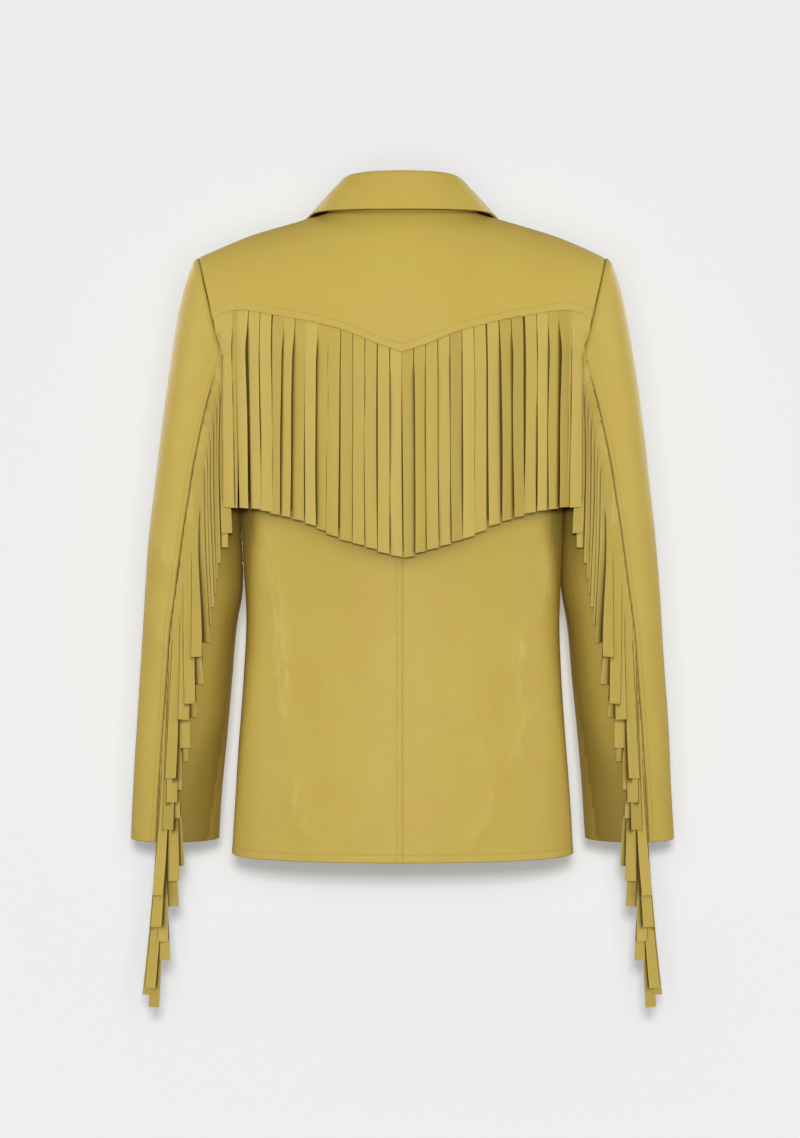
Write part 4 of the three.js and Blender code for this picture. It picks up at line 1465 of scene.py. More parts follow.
@dataclass
class BackPanel:
    """One half of the back, from the yoke to the hem."""

    side: str
    mirror: int
    pitch: float = 3.4
    hem_line: float = 7.8
    centre_line: float = 5.6
    underarm: float = 0.25  # v there
    cut: Cut = Cut(0.272, 0.565, 0.114, "hung", ("back_yoke",))

    def surface(self, u: Array, v: Array) -> Array:
        """Returns points: u runs from the centre back to the side, v from the yoke to the hem."""
        c = u + 0 * v
        upper = lerp(yoke_seam_at(c), UNDERARM_Z, v / self.underarm)
        lower = lerp(UNDERARM_Z, HEM_Z, (v - self.underarm) / (1 - self.underarm))
        return BACK.at(c, np.where(v < self.underarm, upper, lower))

    @staticmethod
    def under_fringe(x: Array, z: Array) -> Array:
        """Returns how far (x, z) is above the line of the fringe's tips."""
        return z - YOKE_TIP_Z(np.abs(x)) - 1.0

    def build(self, shop: Workshop) -> None:
        """Makes the panel. The centre back is topstitched on the wearer's left only."""
        down = Spacing(self.pitch, start=PLAIN, breaks=(0.0, self.underarm, 1.0))
        cloth = weave(self.surface, Spacing(self.pitch, end=PLAIN), down, 1, self.mirror)
        features = [
            Seam(Edge.U0, 0.3, 0.2, 0.16, 0.8),
            Seam(Edge.U1),
            Band(Edge.V0, 6, -1.1, 8),
            # painted shade under the yoke fringe, and a painted shadow below its tips
            PaintedShade(self.under_fringe, 9.0, shadow_past=0.42),
            Band(Edge.V1, self.hem_line - 1, 0.3),
            RoundedEdge(Edge.V1),
            Topstitch(Edge.V1, self.hem_line, depth=0.12),
            Creases(BACK_CREASES, Side.BACK),
            Unevenness(23, 0.55),
        ]
        if self.mirror > 0:
            line = Topstitch(Edge.U0, self.centre_line, depth=0.05)
            features += [Band(Edge.U0, self.centre_line - 1, 0.15), line]
        shop.panel(f"back_{self.side}", cloth, features, self.cut)


def roll_share(z: Array) -> Array:
    """Returns the share c of the lapel's roll line on the front, at level z."""
    x = lerp(ROLL_TOP_X, -BREAK_X, (z - ROLL_TOP_Z) / (BREAK_Z - ROLL_TOP_Z))
    return FRONT.share_at(x, z)


def neck_share_at(degrees: Array) -> Array:
    """Returns the share c of the front's inner edge on the arches: roll line, then neckline."""
    z = np.full_like(degrees, ROLL_TOP_Z)
    for _ in range(SEAM_ROUNDS):
        z = FRONT.over(roll_share(z), degrees)[..., 2]
    start = roll_share(np.array(ROLL_TOP_Z))
    neck = lerp(NECK_SHARE_FRONT, start, power(degrees / ROLL_TOP_DEGREES, 1.5))
    return np.where(degrees < ROLL_TOP_DEGREES, neck, roll_share(z))


def lap_at(x: Array, z: Array, mirror: int) -> Array:
    """Returns how far the right front stands out over the left one at (x, z).

    Args:
        x: Places on the unmirrored front.
        z: Levels.
        mirror: -1 for the right front; the left one lies under it and doesn't stand out.
    """
    if mirror > 0:
        return np.zeros(np.broadcast(x, z).shape)
    high = 3 * (WALL + LAPEL_CLEAR) * smooth(-z, *LAP_BEGINS)
    return lerp(high, LAP_LOW, smooth(-z, *LAP_SETTLES)) * smooth(-x, *LAP_ACROSS)


def front_place(x: Array, z: Array, mirror: int) -> Array:
    """Returns the points of a front seen at (x, z), with the right one over the left."""
    points = FRONT.facing(x, z)
    points[..., 1] -= lap_at(x, z, mirror)
    return points


@dataclass
class FrontPanel:
    """One front, from the hem to the shoulder; the lapel covers its roll line."""

    side: str
    mirror: int
    pitch: float = 4.0
    hem_line: float = 7.8
    edge_line: float = 6.0
    # v at the hem, the break, the underarm, the armhole's middle, the neck and the shoulder
    levels: tuple[float, ...] = (0.0, 0.35, 0.45, 0.6, 0.7333, 1.0)
    cut: Cut = Cut(0.300, 0.700, 0.143, "hung", ("back_yoke",))

    def surface(self, u: Array, v: Array) -> Array:
        """Returns points: u runs from the inner edge to the side, v from hem to shoulder."""
        u, v = np.broadcast_arrays(u, v)
        z = np.interp(v, self.levels[:4], [HEM_Z, BREAK_Z, UNDERARM_Z, MIDDLE_Z])
        over = self.levels[3]
        degrees = lerp(90, SHOULDER_SEAM, ramp(v, over, 1))
        edge = np.where(z < BREAK_Z, FRONT.share_at(-BREAK_X, z), roll_share(z))
        low = FRONT.at(lerp(edge, 1, u), z)
        high = FRONT.over(lerp(neck_share_at(degrees), 1, u), degrees)
        points = np.where((v < over)[..., None], low, high)
        points[..., 1] -= lap_at(points[..., 0], points[..., 2], self.mirror)
        return points

    def build(self, shop: Workshop) -> None:
        """Makes the panel."""
        down = Spacing(self.pitch, end=PLAIN, breaks=self.levels)
        cloth = weave(self.surface, Spacing(self.pitch, end=PLAIN), down, 1, self.mirror)
        features = [
            Seam(Edge.U1),
            Seam(Edge.V1),
            Band(Edge.V0, self.hem_line - 1, 0.5),
            RoundedEdge(Edge.V0),
            RoundedEdge(Edge.U0),
            Topstitch(Edge.V0, self.hem_line, 0.03),
            Topstitch(Edge.U0, self.edge_line, 0.02, 0.5),
            Creases(FRONT_CREASES, Side.FRONT),
            Unevenness(37 if self.mirror > 0 else 41, 0.5),
        ]
        shop.panel(f"front_{self.side}", cloth, features, self.cut)


@dataclass
class Lapel:
    """A notched lapel: it turns round the front's roll line and lies on the chest."""

    side: str
    mirror: int
    pitch: float = 3.2
    turned: float = 9.0
    bulge: float = 1.6
    bow: float = 7.0
    fold: Pair = (0.12, 0.34)
    point: Pair = (124.0, -87.0)
    span: Pair = (-0.006, 0.985)  # of the roll line
    foot: Pair = (-BREAK_X + 6, BREAK_Z + 4)  # where its free edge would end
    bow_up: float = 0.3
    tapers: float = 40.0  # width below which it flattens
    notch_lift: float = 5.0
    edge_line: float = 5.5
    cut: Cut = Cut(0.085, 0.280, 0.0160, "folded", ("front_left", "front_right"))

    def surface(self, u: Array, v: Array) -> Array:
        """Returns points: u runs from the notch to the break, v from inside round to the edge."""
        u, v = np.broadcast_arrays(u, v)
        outer, inner = LAPEL_CLEAR + WALL / 2, -WALL - LAPEL_CLEAR - WALL / 2
        radius = (outer - inner) / 2
        s = lerp(*self.span, u)
        roll = np.stack([lerp(ROLL_TOP_X, -BREAK_X, s), lerp(ROLL_TOP_Z, BREAK_Z, s)], axis=-1)
        swell = self.bow * np.sin(np.pi * s)
        edge_x = lerp(self.point[0], self.foot[0], s) + swell
        edge_z = lerp(self.point[1], self.foot[1], s) + swell * self.bow_up
        reach_out = np.stack([edge_x, edge_z], axis=-1) - roll
        width = np.linalg.norm(reach_out, axis=-1)
        toward = reach_out / width[..., None]
        start, end = self.fold
        turn = ramp(v, start, end) * np.pi
        wide = np.minimum(1, width / self.tapers)
        flat = ramp(v, end, 1)
        reach = GAP - radius * np.sin(turn)
        reach = np.where(v < start, lerp(self.turned * wide, GAP, v / start), reach)
        reach = np.where(v > end, lerp(GAP, width, flat), reach)
        out = (outer + inner) / 2 - radius * np.cos(turn)
        out = out + self.bulge * np.sin(np.pi * flat) * wide
        lift = np.where(v > end, self.notch_lift * peak(flat) * smooth(-u, -0.25, 0), 0)
        x, z = roll[..., 0] + toward[..., 0] * reach, roll[..., 1] + toward[..., 1] * reach + lift
        front, h = front_place, 0.5
        across = front(x + h, z, self.mirror) - front(x - h, z, self.mirror)
        up = front(x, z + h, self.mirror) - front(x, z - h, self.mirror)
        return front(x, z, self.mirror) + unit(np.cross(across, up)) * out[..., None]

    def build(self, shop: Workshop) -> None:
        """Makes the lapel."""
        down = Spacing(self.pitch, start=PLAIN, breaks=(0.0, *self.fold, 1.0))
        cloth = weave(self.surface, Spacing(self.pitch, end=PLAIN), down, 1, self.mirror)
        features = [
            RoundedEdge(Edge.V1),
            RoundedEdge(Edge.U0),
            Topstitch(Edge.V1, self.edge_line, 0.04, 0.97),
            Unevenness(53 if self.mirror > 0 else 59, 0.3),
        ]
        shop.panel(f"lapel_{self.side}", cloth, features, self.cut, WALL / 2, False)


@dataclass
class Collar:
    """The collar: a stand inside the neck, folded over into a fall that lies on the shoulders."""

    pitch: float = 3.0
    end_turn: float = 168.0
    end_degrees: float = 57.0
    fold_width: float = 4.4
    bow: float = 1.0
    clear: float = -0.4
    stand: float = 0.3
    fall: float = 0.45
    notch_drop: float = -10.5
    notch_in: float = 0.75  # how much of it goes inwards too
    notch_from: float = 146.0
    off: float = 5.0
    edge_line: float = 6.0
    cut: Cut = Cut(0.460, 0.100, 0.0397, "folded", ("back_yoke", "front_left", "front_right"))
    # turn round the neck, x y z of the fold, x y z of the free edge
    table: Table = (
        (0, 0, 66, 33, 0, 85, -6),
        (30, 33, 57.5, 33, 47, 75, -5),
        (60, 55, 35, 32.5, 80, 46, -3),
        (90, 61.5, 3, 30, 96, 2, -2.5),
        (120, 66, -32, 19, 107, -38, -13),
        (150, 64, -68, -15, 110, -62, -32),
    )
    fold_end: Pair = (58.0, -65.0)
    point: Pair = (112.0, -57.0)

    def neckline(self, turn: Array) -> Array:
        """Returns the body's neckline at a turn round the neck, 0 being the centre back."""
        c = NECK_SHARE * power(np.sin(np.radians(np.minimum(turn, 90))), 0.9)
        behind = BACK.over(c, back_top(c))
        degrees = self.end_degrees * ramp(turn, 90, self.end_turn)
        before = FRONT.over(neck_share_at(degrees), degrees)
        return np.where((turn <= 90)[..., None], behind, before)

    def surface(self, u: Array, v: Array) -> Array:
        """Returns points: u runs from notch to notch, v up the stand and down the fall."""
        u, v = np.broadcast_arrays(u, v)
        signed = lerp(-self.end_turn, self.end_turn, u)
        turn = np.abs(signed)
        ends = [FRONT.facing(*place) - (0, self.off, 0) for place in (self.fold_end, self.point)]
        table = (*self.table, (self.end_turn, *ends[0].ravel(), *ends[1].ravel()))
        fold = points_of(*(Curve(table, column)(turn) for column in (1, 2, 3)))
        edge = points_of(*(Curve(table, column)(turn) for column in (4, 5, 6)))
        neck = self.neckline(turn)
        rise = unit(fold - neck)
        neck = neck + rise * self.clear
        fall = edge - fold
        out = unit(fall - rise * (fall * rise).sum(axis=-1, keepdims=True))
        half = self.fold_width / 2
        up = lerp(neck, fold - out * half, (v / self.stand)[..., None])
        over = (ramp(v, self.stand, self.fall) * np.pi)[..., None]
        fold_over = fold - out * half * np.cos(over) + rise * half * np.sin(over)
        share = ramp(v, self.fall, 1)
        down = lerp(fold + out * half, edge, share[..., None])
        down = down + out * (self.bow * np.sin(np.pi * share))[..., None]
        drop = self.notch_drop * peak(share) * smooth(turn, self.notch_from, self.end_turn)
        down = down + points_of(0, self.notch_in * drop, drop)
        points = np.where((v < self.stand)[..., None], up, fold_over)
        points = np.where((v > self.fall)[..., None], down, points)
        return points * points_of(np.where(signed < 0, -1, 1), 1, 1)

    def build(self, shop: Workshop) -> None:
        """Makes the collar."""
        down = Spacing(self.pitch, start=PLAIN, breaks=(0.0, self.stand, self.fall, 1.0))
        cloth = weave(self.surface, Spacing(self.pitch, PLAIN, PLAIN, (0.0, 0.5, 1.0)), down, -1)
        features = [
            RoundedEdge(Edge.V1, 1.1),
            RoundedEdge(Edge.U0),
            RoundedEdge(Edge.U1),
            Swell(Edge.V1, 2.6, 0.9, 2.4),
            Topstitch(Edge.V1, self.edge_line, 0.02, 0.98, 0.05),
            Unevenness(61, 0.3),
        ]
        shop.panel("collar", cloth, features, self.cut, WALL / 2, False)


# ---- sleeves

BESIDE_WIDTH, BESIDE_BEGINS = 3.5, (140, 160)  # of the shade beside the last strand of the back
INNER_SHADE, INNER_DEEPENS = (56, 0.3), (500, 630)  # its width and share above, and how it grows
SLEEVE_CREASES_BACK: Table = (
    (0.9, 9, 262, -330, 240, -362, 214, -380),
    (-0.8, 9, 266, -372, 246, -396, 222, -404),
    (0.7, 10, 268, -410, 250, -440, 232, -452),
    (0.9, 9, 272, -470, 266, -540, 270, -610),
    (-0.8, 9, 200, -500, 206, -560, 212, -630),
)
SLEEVE_CREASES_FRONT: Table = (
    (1.5, 9, 256, -318, 226, -352, 190, -362),
    (1.8, 8, 262, -362, 230, -388, 188, -392),
    (1.4, 9, 264, -402, 232, -420, 192, -416),
    (1.0, 11, 250, -240, 236, -280, 214, -310),
    (1.0, 10, 236, -450, 230, -520, 238, -600),
    (-0.9, 10, 262, -480, 256, -560, 262, -640),
)


def beside_fringe(x: Array, z: Array) -> Array:
    """Returns how deep (x, z) of a sleeve is in the shade beside the last strand of the back.

    Args:
        x: Places on the unmirrored sleeve.
        z: Levels.

    Returns:
        0 to 1: a narrow bell outside the armhole's edge, from under the yoke to the tips.
    """
    edge = BACK.armhole_at(z)
    tip = YOKE_TIP_Z(edge)
    bell = np.exp(-((np.maximum(x - edge, 0) / BESIDE_WIDTH) ** 2))
    return bell * smooth(-z, *BESIDE_BEGINS) * smooth(z, tip - 1, tip + 6)


@dataclass
class Sleeve:
    """A two-piece sleeve: its top piece laps over its under piece along the elbow."""

    side: str
    mirror: int
    pitch: float = 3.8
    half_gap: float = 0.1
    lap: float = 4.6
    groove: float = 6.0
    bare: float = 0.15  # of the shade beside the back's last strand, what doesn't show on it
    cut_top: Cut = Cut(0.235, 0.640, 0.102, "hung", ("back_yoke",))
    cut_under: Cut = Cut(0.165, 0.520, 0.066, "hung", ("back_yoke",))

    def surface(self, top: bool) -> Surface:
        """Returns the surface of the top or the under piece: u goes round, v down to the cuff."""

        def place(u: Array, v: Array) -> Array:
            """Returns points between the piece's two seams."""
            u, v = np.broadcast_arrays(u, v * 2)
            elbow = SLEEVE_FORM.seam(SLEEVE_FORM.elbow, v)
            front = SLEEVE_FORM.seam(SLEEVE_FORM.front, v)
            start, end = (front, elbow) if top else (elbow, 360 + front)
            return SLEEVE_FORM.at(lerp(start + self.half_gap, end - self.half_gap, u), v)

        return place

    @staticmethod
    def under_fringe(x: Array, z: Array) -> Array:
        """Returns how far (x, z) is inside the slanting line of the fringe's tips."""
        line = SLEEVE_FORM.elbow_line()
        root = np.minimum(z + SleeveFringe.drop, line[0, 2])
        return x - np.interp(-root, -line[:, 2], line[:, 0]) + SleeveFringe.width - 3.0

    @staticmethod
    def inner_side(x: Array, z: Array) -> Array:
        """Returns how far (x, z) is into the shade beside the body, which deepens downwards."""
        wide = INNER_SHADE[0] - x + SLEEVE_FORM.inner(z)
        return wide * lerp(INNER_SHADE[1], 1, smooth(-z, *INNER_DEEPENS))

    def beside_back(self, x: Array, z: Array) -> Array:
        """Returns the shade beside the back's last strand, less what doesn't show."""
        return beside_fringe(x, z) - self.bare

    def build(self, shop: Workshop) -> None:
        """Makes both pieces."""
        down = Spacing(self.pitch, end=PLAIN, breaks=(0.0, 0.5, 1.0))
        shared = [
            Seam(Edge.U0),
            Seam(Edge.V0, 1.1, 0.0),
            # painted shade beside the back's last strand
            PaintedShade(self.beside_back, 1 - self.bare, dark=0.6),
            Swell(Edge.V0, 6.5, 0.8, 4.5),
            RoundedEdge(Edge.V1),
            Creases(SLEEVE_CREASES_BACK, Side.BACK),
            Creases(SLEEVE_CREASES_FRONT, Side.FRONT),
        ]
        lapped = [
            Seam(Edge.U1, 0.8, 0.0, 1.0, 1.3),
            Band(Edge.U1, self.lap, 0.8, 4.0),
            Topstitch(Edge.U1, self.groove, depth=0.1),
        ]
        top = weave(self.surface(True), Spacing(self.pitch, start=PLAIN), down, -1, self.mirror)
        uneven = Unevenness(71 if self.mirror > 0 else 73, 0.5)
        shop.panel(f"top_sleeve_{self.side}", top, [*shared, *lapped, uneven], self.cut_top)
        round_under = Spacing(self.pitch, PLAIN, PLAIN)
        under = weave(self.surface(False), round_under, down, -1, self.mirror)
        # painted shade under the sleeve fringe, sunk 1 mm, and a painted shadow past the tips
        hidden = PaintedShade(self.under_fringe, 7.0, 1.0, shadow_past=0.22, spread=6.0)
        # painted shade on the inner side beside the body, deeper downwards
        body = PaintedShade(self.inner_side, 30.0, 0, 0.42)
        plain = [*shared, Seam(Edge.U1), uneven, hidden, body]
        shop.panel(f"under_sleeve_{self.side}", under, plain, self.cut_under)


# ---- fringes


def ribbon(shape: Shape, base: Array, mirror: int, wall: float, tone: float, shade: Array) -> None:
    """Adds one strand to a shape: thinner at its edges, which are paler with wear and a painted
    highlight.

    Args:
        shape: Shape that it is added to.
        base: Grid of its back face: columns from its outer edge in, rows down.
        mirror: -1 to mirror it to the wearer's right.
        wall: Its thickness in millimetres.
        tone: Its own shade, from -1 to 1.
        shade: Painted shade where others lie over it, from 0 to 1.
    """
    cloth = Cloth(base, -1, mirror)
    across = np.linspace(-1, 1, base.shape[0])[:, None]
    cloth.marks[Mark.TONE] += tone
    # painted shade at the root, where it goes under the seam, and where others lie over it
    cloth.marks[Mark.TUCK] += np.maximum(0.5 * np.exp(-cloth.v / 0.8), shade)
    # edges paler: wear and a painted highlight
    cloth.marks[Mark.WEAR] += 0.5 * np.abs(across) ** 8 * (1 - cloth.marks[Mark.TUCK])
    # painted shade on the rims, through the inner face's least darkness of 0.95
    shape.wall(cloth, cloth.face(wall - 0.3 * np.abs(across) ** 6), base, True, 0.95)


@dataclass(frozen=True)
class Overlap:
    """How strands that hang over one another shade each other."""

    reach: int  # how many strands on either side can lie over one
    # a nick shows as a short line of painted shade
    nicks: int = 0  # how many, from the first, show the nick between them and the next
    nick_length: Pair = (1.5, 3.0)
    nick_dark: float = 0.7
    inward: float = 0.9  # width of a shadow, and what each millimetre of height adds to it
    inward_more: float = 0.3
    outward: float = 0.5
    outward_more: float = 0.08
    parting: Pair = (12.0, 30.0)  # fall over which strands part
    apart: Pair = (0.05, 0.5)  # height of one over another that shows
    dark: float = 1.3

    def shade(self, grids: Array, fallen: Array, i: int) -> Array:
        """Returns how dark each point of one strand is beside and beneath the others.

        Args:
            grids: Grids of all strands: strand, column from the outer edge in, row, coordinate.
            fallen: How far each point has fallen.
            i: Which strand.

        Returns:
            The deepest of the others' shadows: full where one covers the point, falling as a
            bell past its edges, and wider the further out it hangs. Near the roots only the
            nicks show.
        """
        x, y, z = np.moveaxis(grids[i], -1, 0)
        dark = np.zeros(x.shape)
        for j in range(max(0, i - self.reach), min(len(grids), i + self.reach + 1)):
            if j == i:
                continue
            sides = []
            for column in (0, -1):
                rows = grids[j, column, ::-1]
                sides += [np.interp(z, rows[:, 2], rows[:, axis]) for axis in (0, 1)]
            outer_x, outer_y, inner_x, inner_y = sides
            there = (z < grids[j, -1, 0, 2]) & (z > grids[j, 0, -1, 2] - 1.0)
            t = np.clip((x - outer_x) / np.minimum(inner_x - outer_x, -1e-3), 0, 1)
            step = np.maximum(lerp(outer_y, inner_y, t) - y, 0)
            drop = np.interp(z, grids[j, -1, ::-1, 2], fallen[j, -1, ::-1])
            inward = np.maximum(inner_x - x, 0) / (self.inward + self.inward_more * step)
            outward = np.maximum(x - outer_x, 0) / (self.outward + self.outward_more * step)
            bell = np.exp(-(inward**2) - outward**2)
            nick = (1 - smooth(drop, *self.nick_length)) * (i < self.nicks) * (j == i + 1)
            loose = smooth(drop, *self.parting) * smooth(step, *self.apart) * self.dark
            over = bell * np.maximum(nick * self.nick_dark, loose)
            dark = np.maximum(dark, np.where(there, over, 0))
        return np.minimum(dark, 1)


@dataclass
class YokeFringe:
    """Strands cut from one strip, sewn under the yoke's edge; their tips follow its point."""

    width: float = 11.3
    wall: float = 1.1
    clear: float = 0.3
    sunk: float = 0.9
    hang: float = 2.2
    layer_step: float = 1.35
    columns: int = 11
    rows: int = 46
    tuck: float = 0.9
    bow: float = 0.8  # the most that chance bends a strand sideways, and outwards
    sway: float = 0.9
    ripple: float = 3.0  # degrees
    belly: float = 0.5
    uneven: float = 1.2  # how much longer or shorter chance makes one
    square: float = 0.35  # how far a tip is cut square, not along the line of the tips
    edge_clear: float = 1.4
    fan: Pair = (-150, -132)  # levels between which the last one widens
    overlap: Overlap = Overlap(2)
    cut: Cut = Cut(0.385, 0.225, 0.080, "hung", ("back_yoke",))
    # for each strand from the middle out: x of its root and its tip, its turn, and its layer
    left: Table = (
        (6.4, 5.6, 0, 0), (18.9, 18.7, 4, 0), (31.3, 30.9, 0, 0), (43.5, 43.7, 0, 0),
        (55.6, 56, -8, 0), (67.6, 69.6, 0, 1), (79, 79.3, 5, 0), (90.3, 90.8, 17, 0),
        (101.5, 103.7, 0, 0), (113.5, 116, 20, 0), (124.5, 126.5, 20, 0), (137.5, 134.9, 0, 1),
        (149.5, 145.8, 11, 0), (161.5, 157.5, 17, 0), (170, 170.5, 0, 0), (177, 173, 0, 1),
    )
    right: Table = (
        (5.1, 7.2, 0, 0), (17.2, 18.2, 15, 0), (29.3, 30.2, 0, 1), (41.5, 42.8, 0, 0),
        (53.5, 54.7, 5, 0), (65.5, 66, 5, 0), (77.5, 77.6, 0, 0), (90.6, 91.9, 0, 0),
        (103, 104.5, 15, 0), (115.2, 116.1, 15, 0), (129, 127, 0, 0), (141, 139.9, 8, 0),
        (152.6, 150.6, 10, 0), (163.2, 160.1, 22, 0), (171, 171, 0, 0), (176, 172.7, 0, 1),
    )

    def strand(
        self, row: Sequence[float], last: bool, rng: np.random.Generator
    ) -> tuple[Array, Array]:
        """Returns the grid of a strand's back face, and how far its points have fallen.

        Args:
            row: The strand's row of the table.
            last: Whether it is the one beside the armhole, which fans out to the armhole's seam.
            rng: Source of its small chances.

        Returns:
            Points that lie on the back down to the shoulder blades and then hang plumb.
        """
        root_x, tip_x, turned, layer = row
        t = np.linspace(1, -1, self.columns)[:, None]
        s = (np.linspace(0, 1, self.rows) ** 1.15)[None, :]
        bow, sway = rng.uniform(-self.bow, self.bow), rng.uniform(-self.sway, self.sway)
        phase = rng.uniform(0, 6.28)
        middle = lerp(root_x, tip_x, s) + bow * np.sin(np.pi * s)
        free = smooth(s, 0.0, 0.22)
        wave = self.ripple * np.sin(2 * np.pi * s * 1.3 + phase)
        turn = np.radians((turned + wave) * free)
        x = middle + t * self.width / 2 * np.cos(turn)
        root = YOKE_SEAM_Z(x) + self.tuck
        tip = lerp(YOKE_TIP_Z(x), YOKE_TIP_Z(middle), self.square)
        z = lerp(root, tip + rng.uniform(-self.uneven, self.uneven), s)
        edge = BACK.armhole_at(z) - self.edge_clear
        if last:
            x = np.where(t > 0.4, np.maximum(x, lerp(x, edge, smooth(z, *self.fan))), x)
        x = np.minimum(x, edge)
        y = BACK.facing(x, np.maximum(z, MIDDLE_Z))[..., 1]
        y = np.maximum(y, BACK.facing(x, z)[..., 1])
        base = points_of(x, y, z)
        out = Cloth(base, -1).normals * (1, 1, 0)
        lift = self.clear - self.sunk * (1 - smooth(root - z, 0, 9)) + self.hang * free
        lift = lift + self.layer_step * layer * free
        lift = lift + self.width / 2 * (np.abs(np.sin(turn)) - t * np.sin(turn))
        lift = lift + (self.belly * (1 - t * t) + sway * np.sin(np.pi * s) / 2) * free
        return base + unit(out) * lift[..., None], root - z

    def build(self, shop: Workshop) -> None:
        """Makes all the strands of both sides."""
        shape, rng = Shape(), np.random.default_rng(101)
        for mirror, strands in ((1, self.left), (-1, self.right)):
            made = [self.strand(row, row is strands[-1], rng) for row in strands]
            grids, fallen = (np.stack(part) for part in zip(*made))
            for i, base in enumerate(grids):
                tone, shade = rng.uniform(-0.9, 0.9), self.overlap.shade(grids, fallen, i)
                ribbon(shape, base, mirror, self.wall, tone, shade)
        shop.fringe(shape, "yoke_fringe_strands", "yoke_fringe", self.cut)


@dataclass
class SleeveFringe:
    """Strands sewn into the elbow seam: each hangs plumb, and they lie over one another."""

    side: str
    mirror: int
    width: float = 10.6
    wall: float = 0.75
    drop: float = 176.0
    clear: float = 0.3
    reach: float = 10.4
    columns: int = 13
    rows: int = 42
    bow: float = 1.3  # the most that chance bends a strand sideways
    uneven: float = 1.5  # how much longer or shorter chance makes one, and how much slanted
    slanted: float = 0.8
    twist: float = 5.0  # degrees
    belly: float = 0.3
    bend: float = 8.0  # fall over which its inner edge bends down
    leaves: Pair = (0.0, 12.0)  # fall over which it leaves the seam's depth
    halvings: int = 16
    overlap: Overlap = Overlap(11, 5)
    top: Triple = (186.2, 61.0, -141.5)
    joins: float = -180.0
    strip: Triple = (0.505, 0.185, 0.062)  # metres, and its area
    # for each strand from the top down: how far its tip lies inwards of plumb, how much lower its
    # tip is than the others', its share of the reach off the sleeve, its slant across, and how
    # much narrower a twist makes it look halfway down
    hung: Table = (
        (5.4, 0, 0.5, 0.24, 0.42), (3.5, 0, 0.08, 0.24, 0.0), (-0.5, 0, 0.08, 0.24, 0.1),
        (0.3, 0, 0.08, 0.24, 0.15), (2.0, 0, 0.08, 0.24, 0.05), (3.1, 0, 0.08, 0.24, 0.2),
        (3.5, 0, 0.1, 0.24, 0.0), (4.7, 5, 0.12, 0.24, 0.1), (-0.3, 4, 1.0, 0.12, 0.42),
        (2.3, 2, 0.25, 0.08, 0.1), (5.6, 0, 0.4, 0.1, 0.2), (0.0, 4, 0.95, 0.1, 0.05),
        (3.3, 3, 0.5, 0.08, 0.2), (-2.4, -10, 1.0, 0.1, 0.1), (0.6, 4, 0.7, 0.08, 0.15),
        (0.6, 3, 0.45, 0.08, 0.3), (-9.6, 6, 0.95, 0.08, 0.1), (-1.7, 2, 0.62, 0.1, 0.2),
        (-4.6, -1, 0.78, 0.08, 0.05), (-0.6, 1, 0.7, 0.08, 0.3), (-6.2, -5, 0.95, 0.08, 0.15),
        (-1.2, 0, 0.3, 0.08, 0.1), (7.3, 3, 0.5, 0.1, 0.25), (3.7, 1, 0.85, 0.08, 0.1),
        (-11.7, 0, 1.0, 0.08, 0.2), (5.7, -2, 0.4, 0.08, 0.35), (-10.6, 3, 0.95, 0.08, 0.15),
        (-3.0, 4, 0.6, 0.1, 0.4), (-3.4, 3, 0.35, 0.08, 0.3), (1.6, -9, 0.8, 0.08, 0.4),
        (-12.7, 4, 0.9, 0.08, 0.2), (-14.4, -5, 0.6, 0.08, 0.35), (-7.0, -9, 0.95, 0.08, 0.25),
    )

    def root_line(self) -> Array:
        """Returns the line of the roots: the armhole's corner, then the elbow seam."""
        elbow = SLEEVE_FORM.elbow_line()
        return np.concatenate([np.array([self.top]), elbow[elbow[:, 2] < self.joins]])

    def on_back(self, x: Array, z: Array) -> Array:
        """Returns the y of the sleeve's back at (x, z), found by halving round it and down it."""
        low, high = np.full(x.shape, 30.0), np.full(x.shape, 104.0)
        for _ in range(self.halvings):
            degrees = (low + high) / 2
            top, bottom = np.zeros(x.shape), np.ones(x.shape)
            for _ in range(self.halvings):
                middle = (top + bottom) / 2
                above = SLEEVE_FORM.head(degrees, middle)[..., 2] > z
                top, bottom = np.where(above, middle, top), np.where(above, bottom, middle)
            v = np.where(z > TUBE_TOP_Z, top, 1 + (TUBE_TOP_Z - z) / (TUBE_TOP_Z - CUFF_Z))
            place = SLEEVE_FORM.at(degrees, v)
            outside = place[..., 0] > x
            low, high = np.where(outside, degrees, low), np.where(outside, high, degrees)
        return place[..., 1]

    def strands(self) -> tuple[Array, Array]:
        """Shapes all the strands.

        Returns:
            The grids of their back faces (strand, column, row, coordinate), and how far each
            point has fallen from the seam. The outer edge falls from the lower nick; the inner
            edge leaves the upper nick and bends down. The slant lays each strand over the one
            above it, and its share of the reach lifts it with the square of its fall.
        """
        rng = np.random.default_rng(7)
        line = self.root_line()
        run = distance_along(line, 0)
        lean, longer, share, slant, turned = np.array(self.hung).T[..., None, None]
        count = len(self.hung)
        nicks = np.linspace(0, run[-1], count + 1)
        nick = read_along(line, run, nicks)
        upper, lower = nick[:-1, None, None], nick[1:, None, None]
        t = np.linspace(0, 1, self.columns)[None, :, None]  # 0 at the outer edge
        s = (np.linspace(0, 1, self.rows) ** 1.35)[None, None, :]

        def chance(reach: float) -> Array:
            """Returns a number for each strand, up to reach from 0 either way."""
            return rng.uniform(-reach, reach, count)[:, None, None]

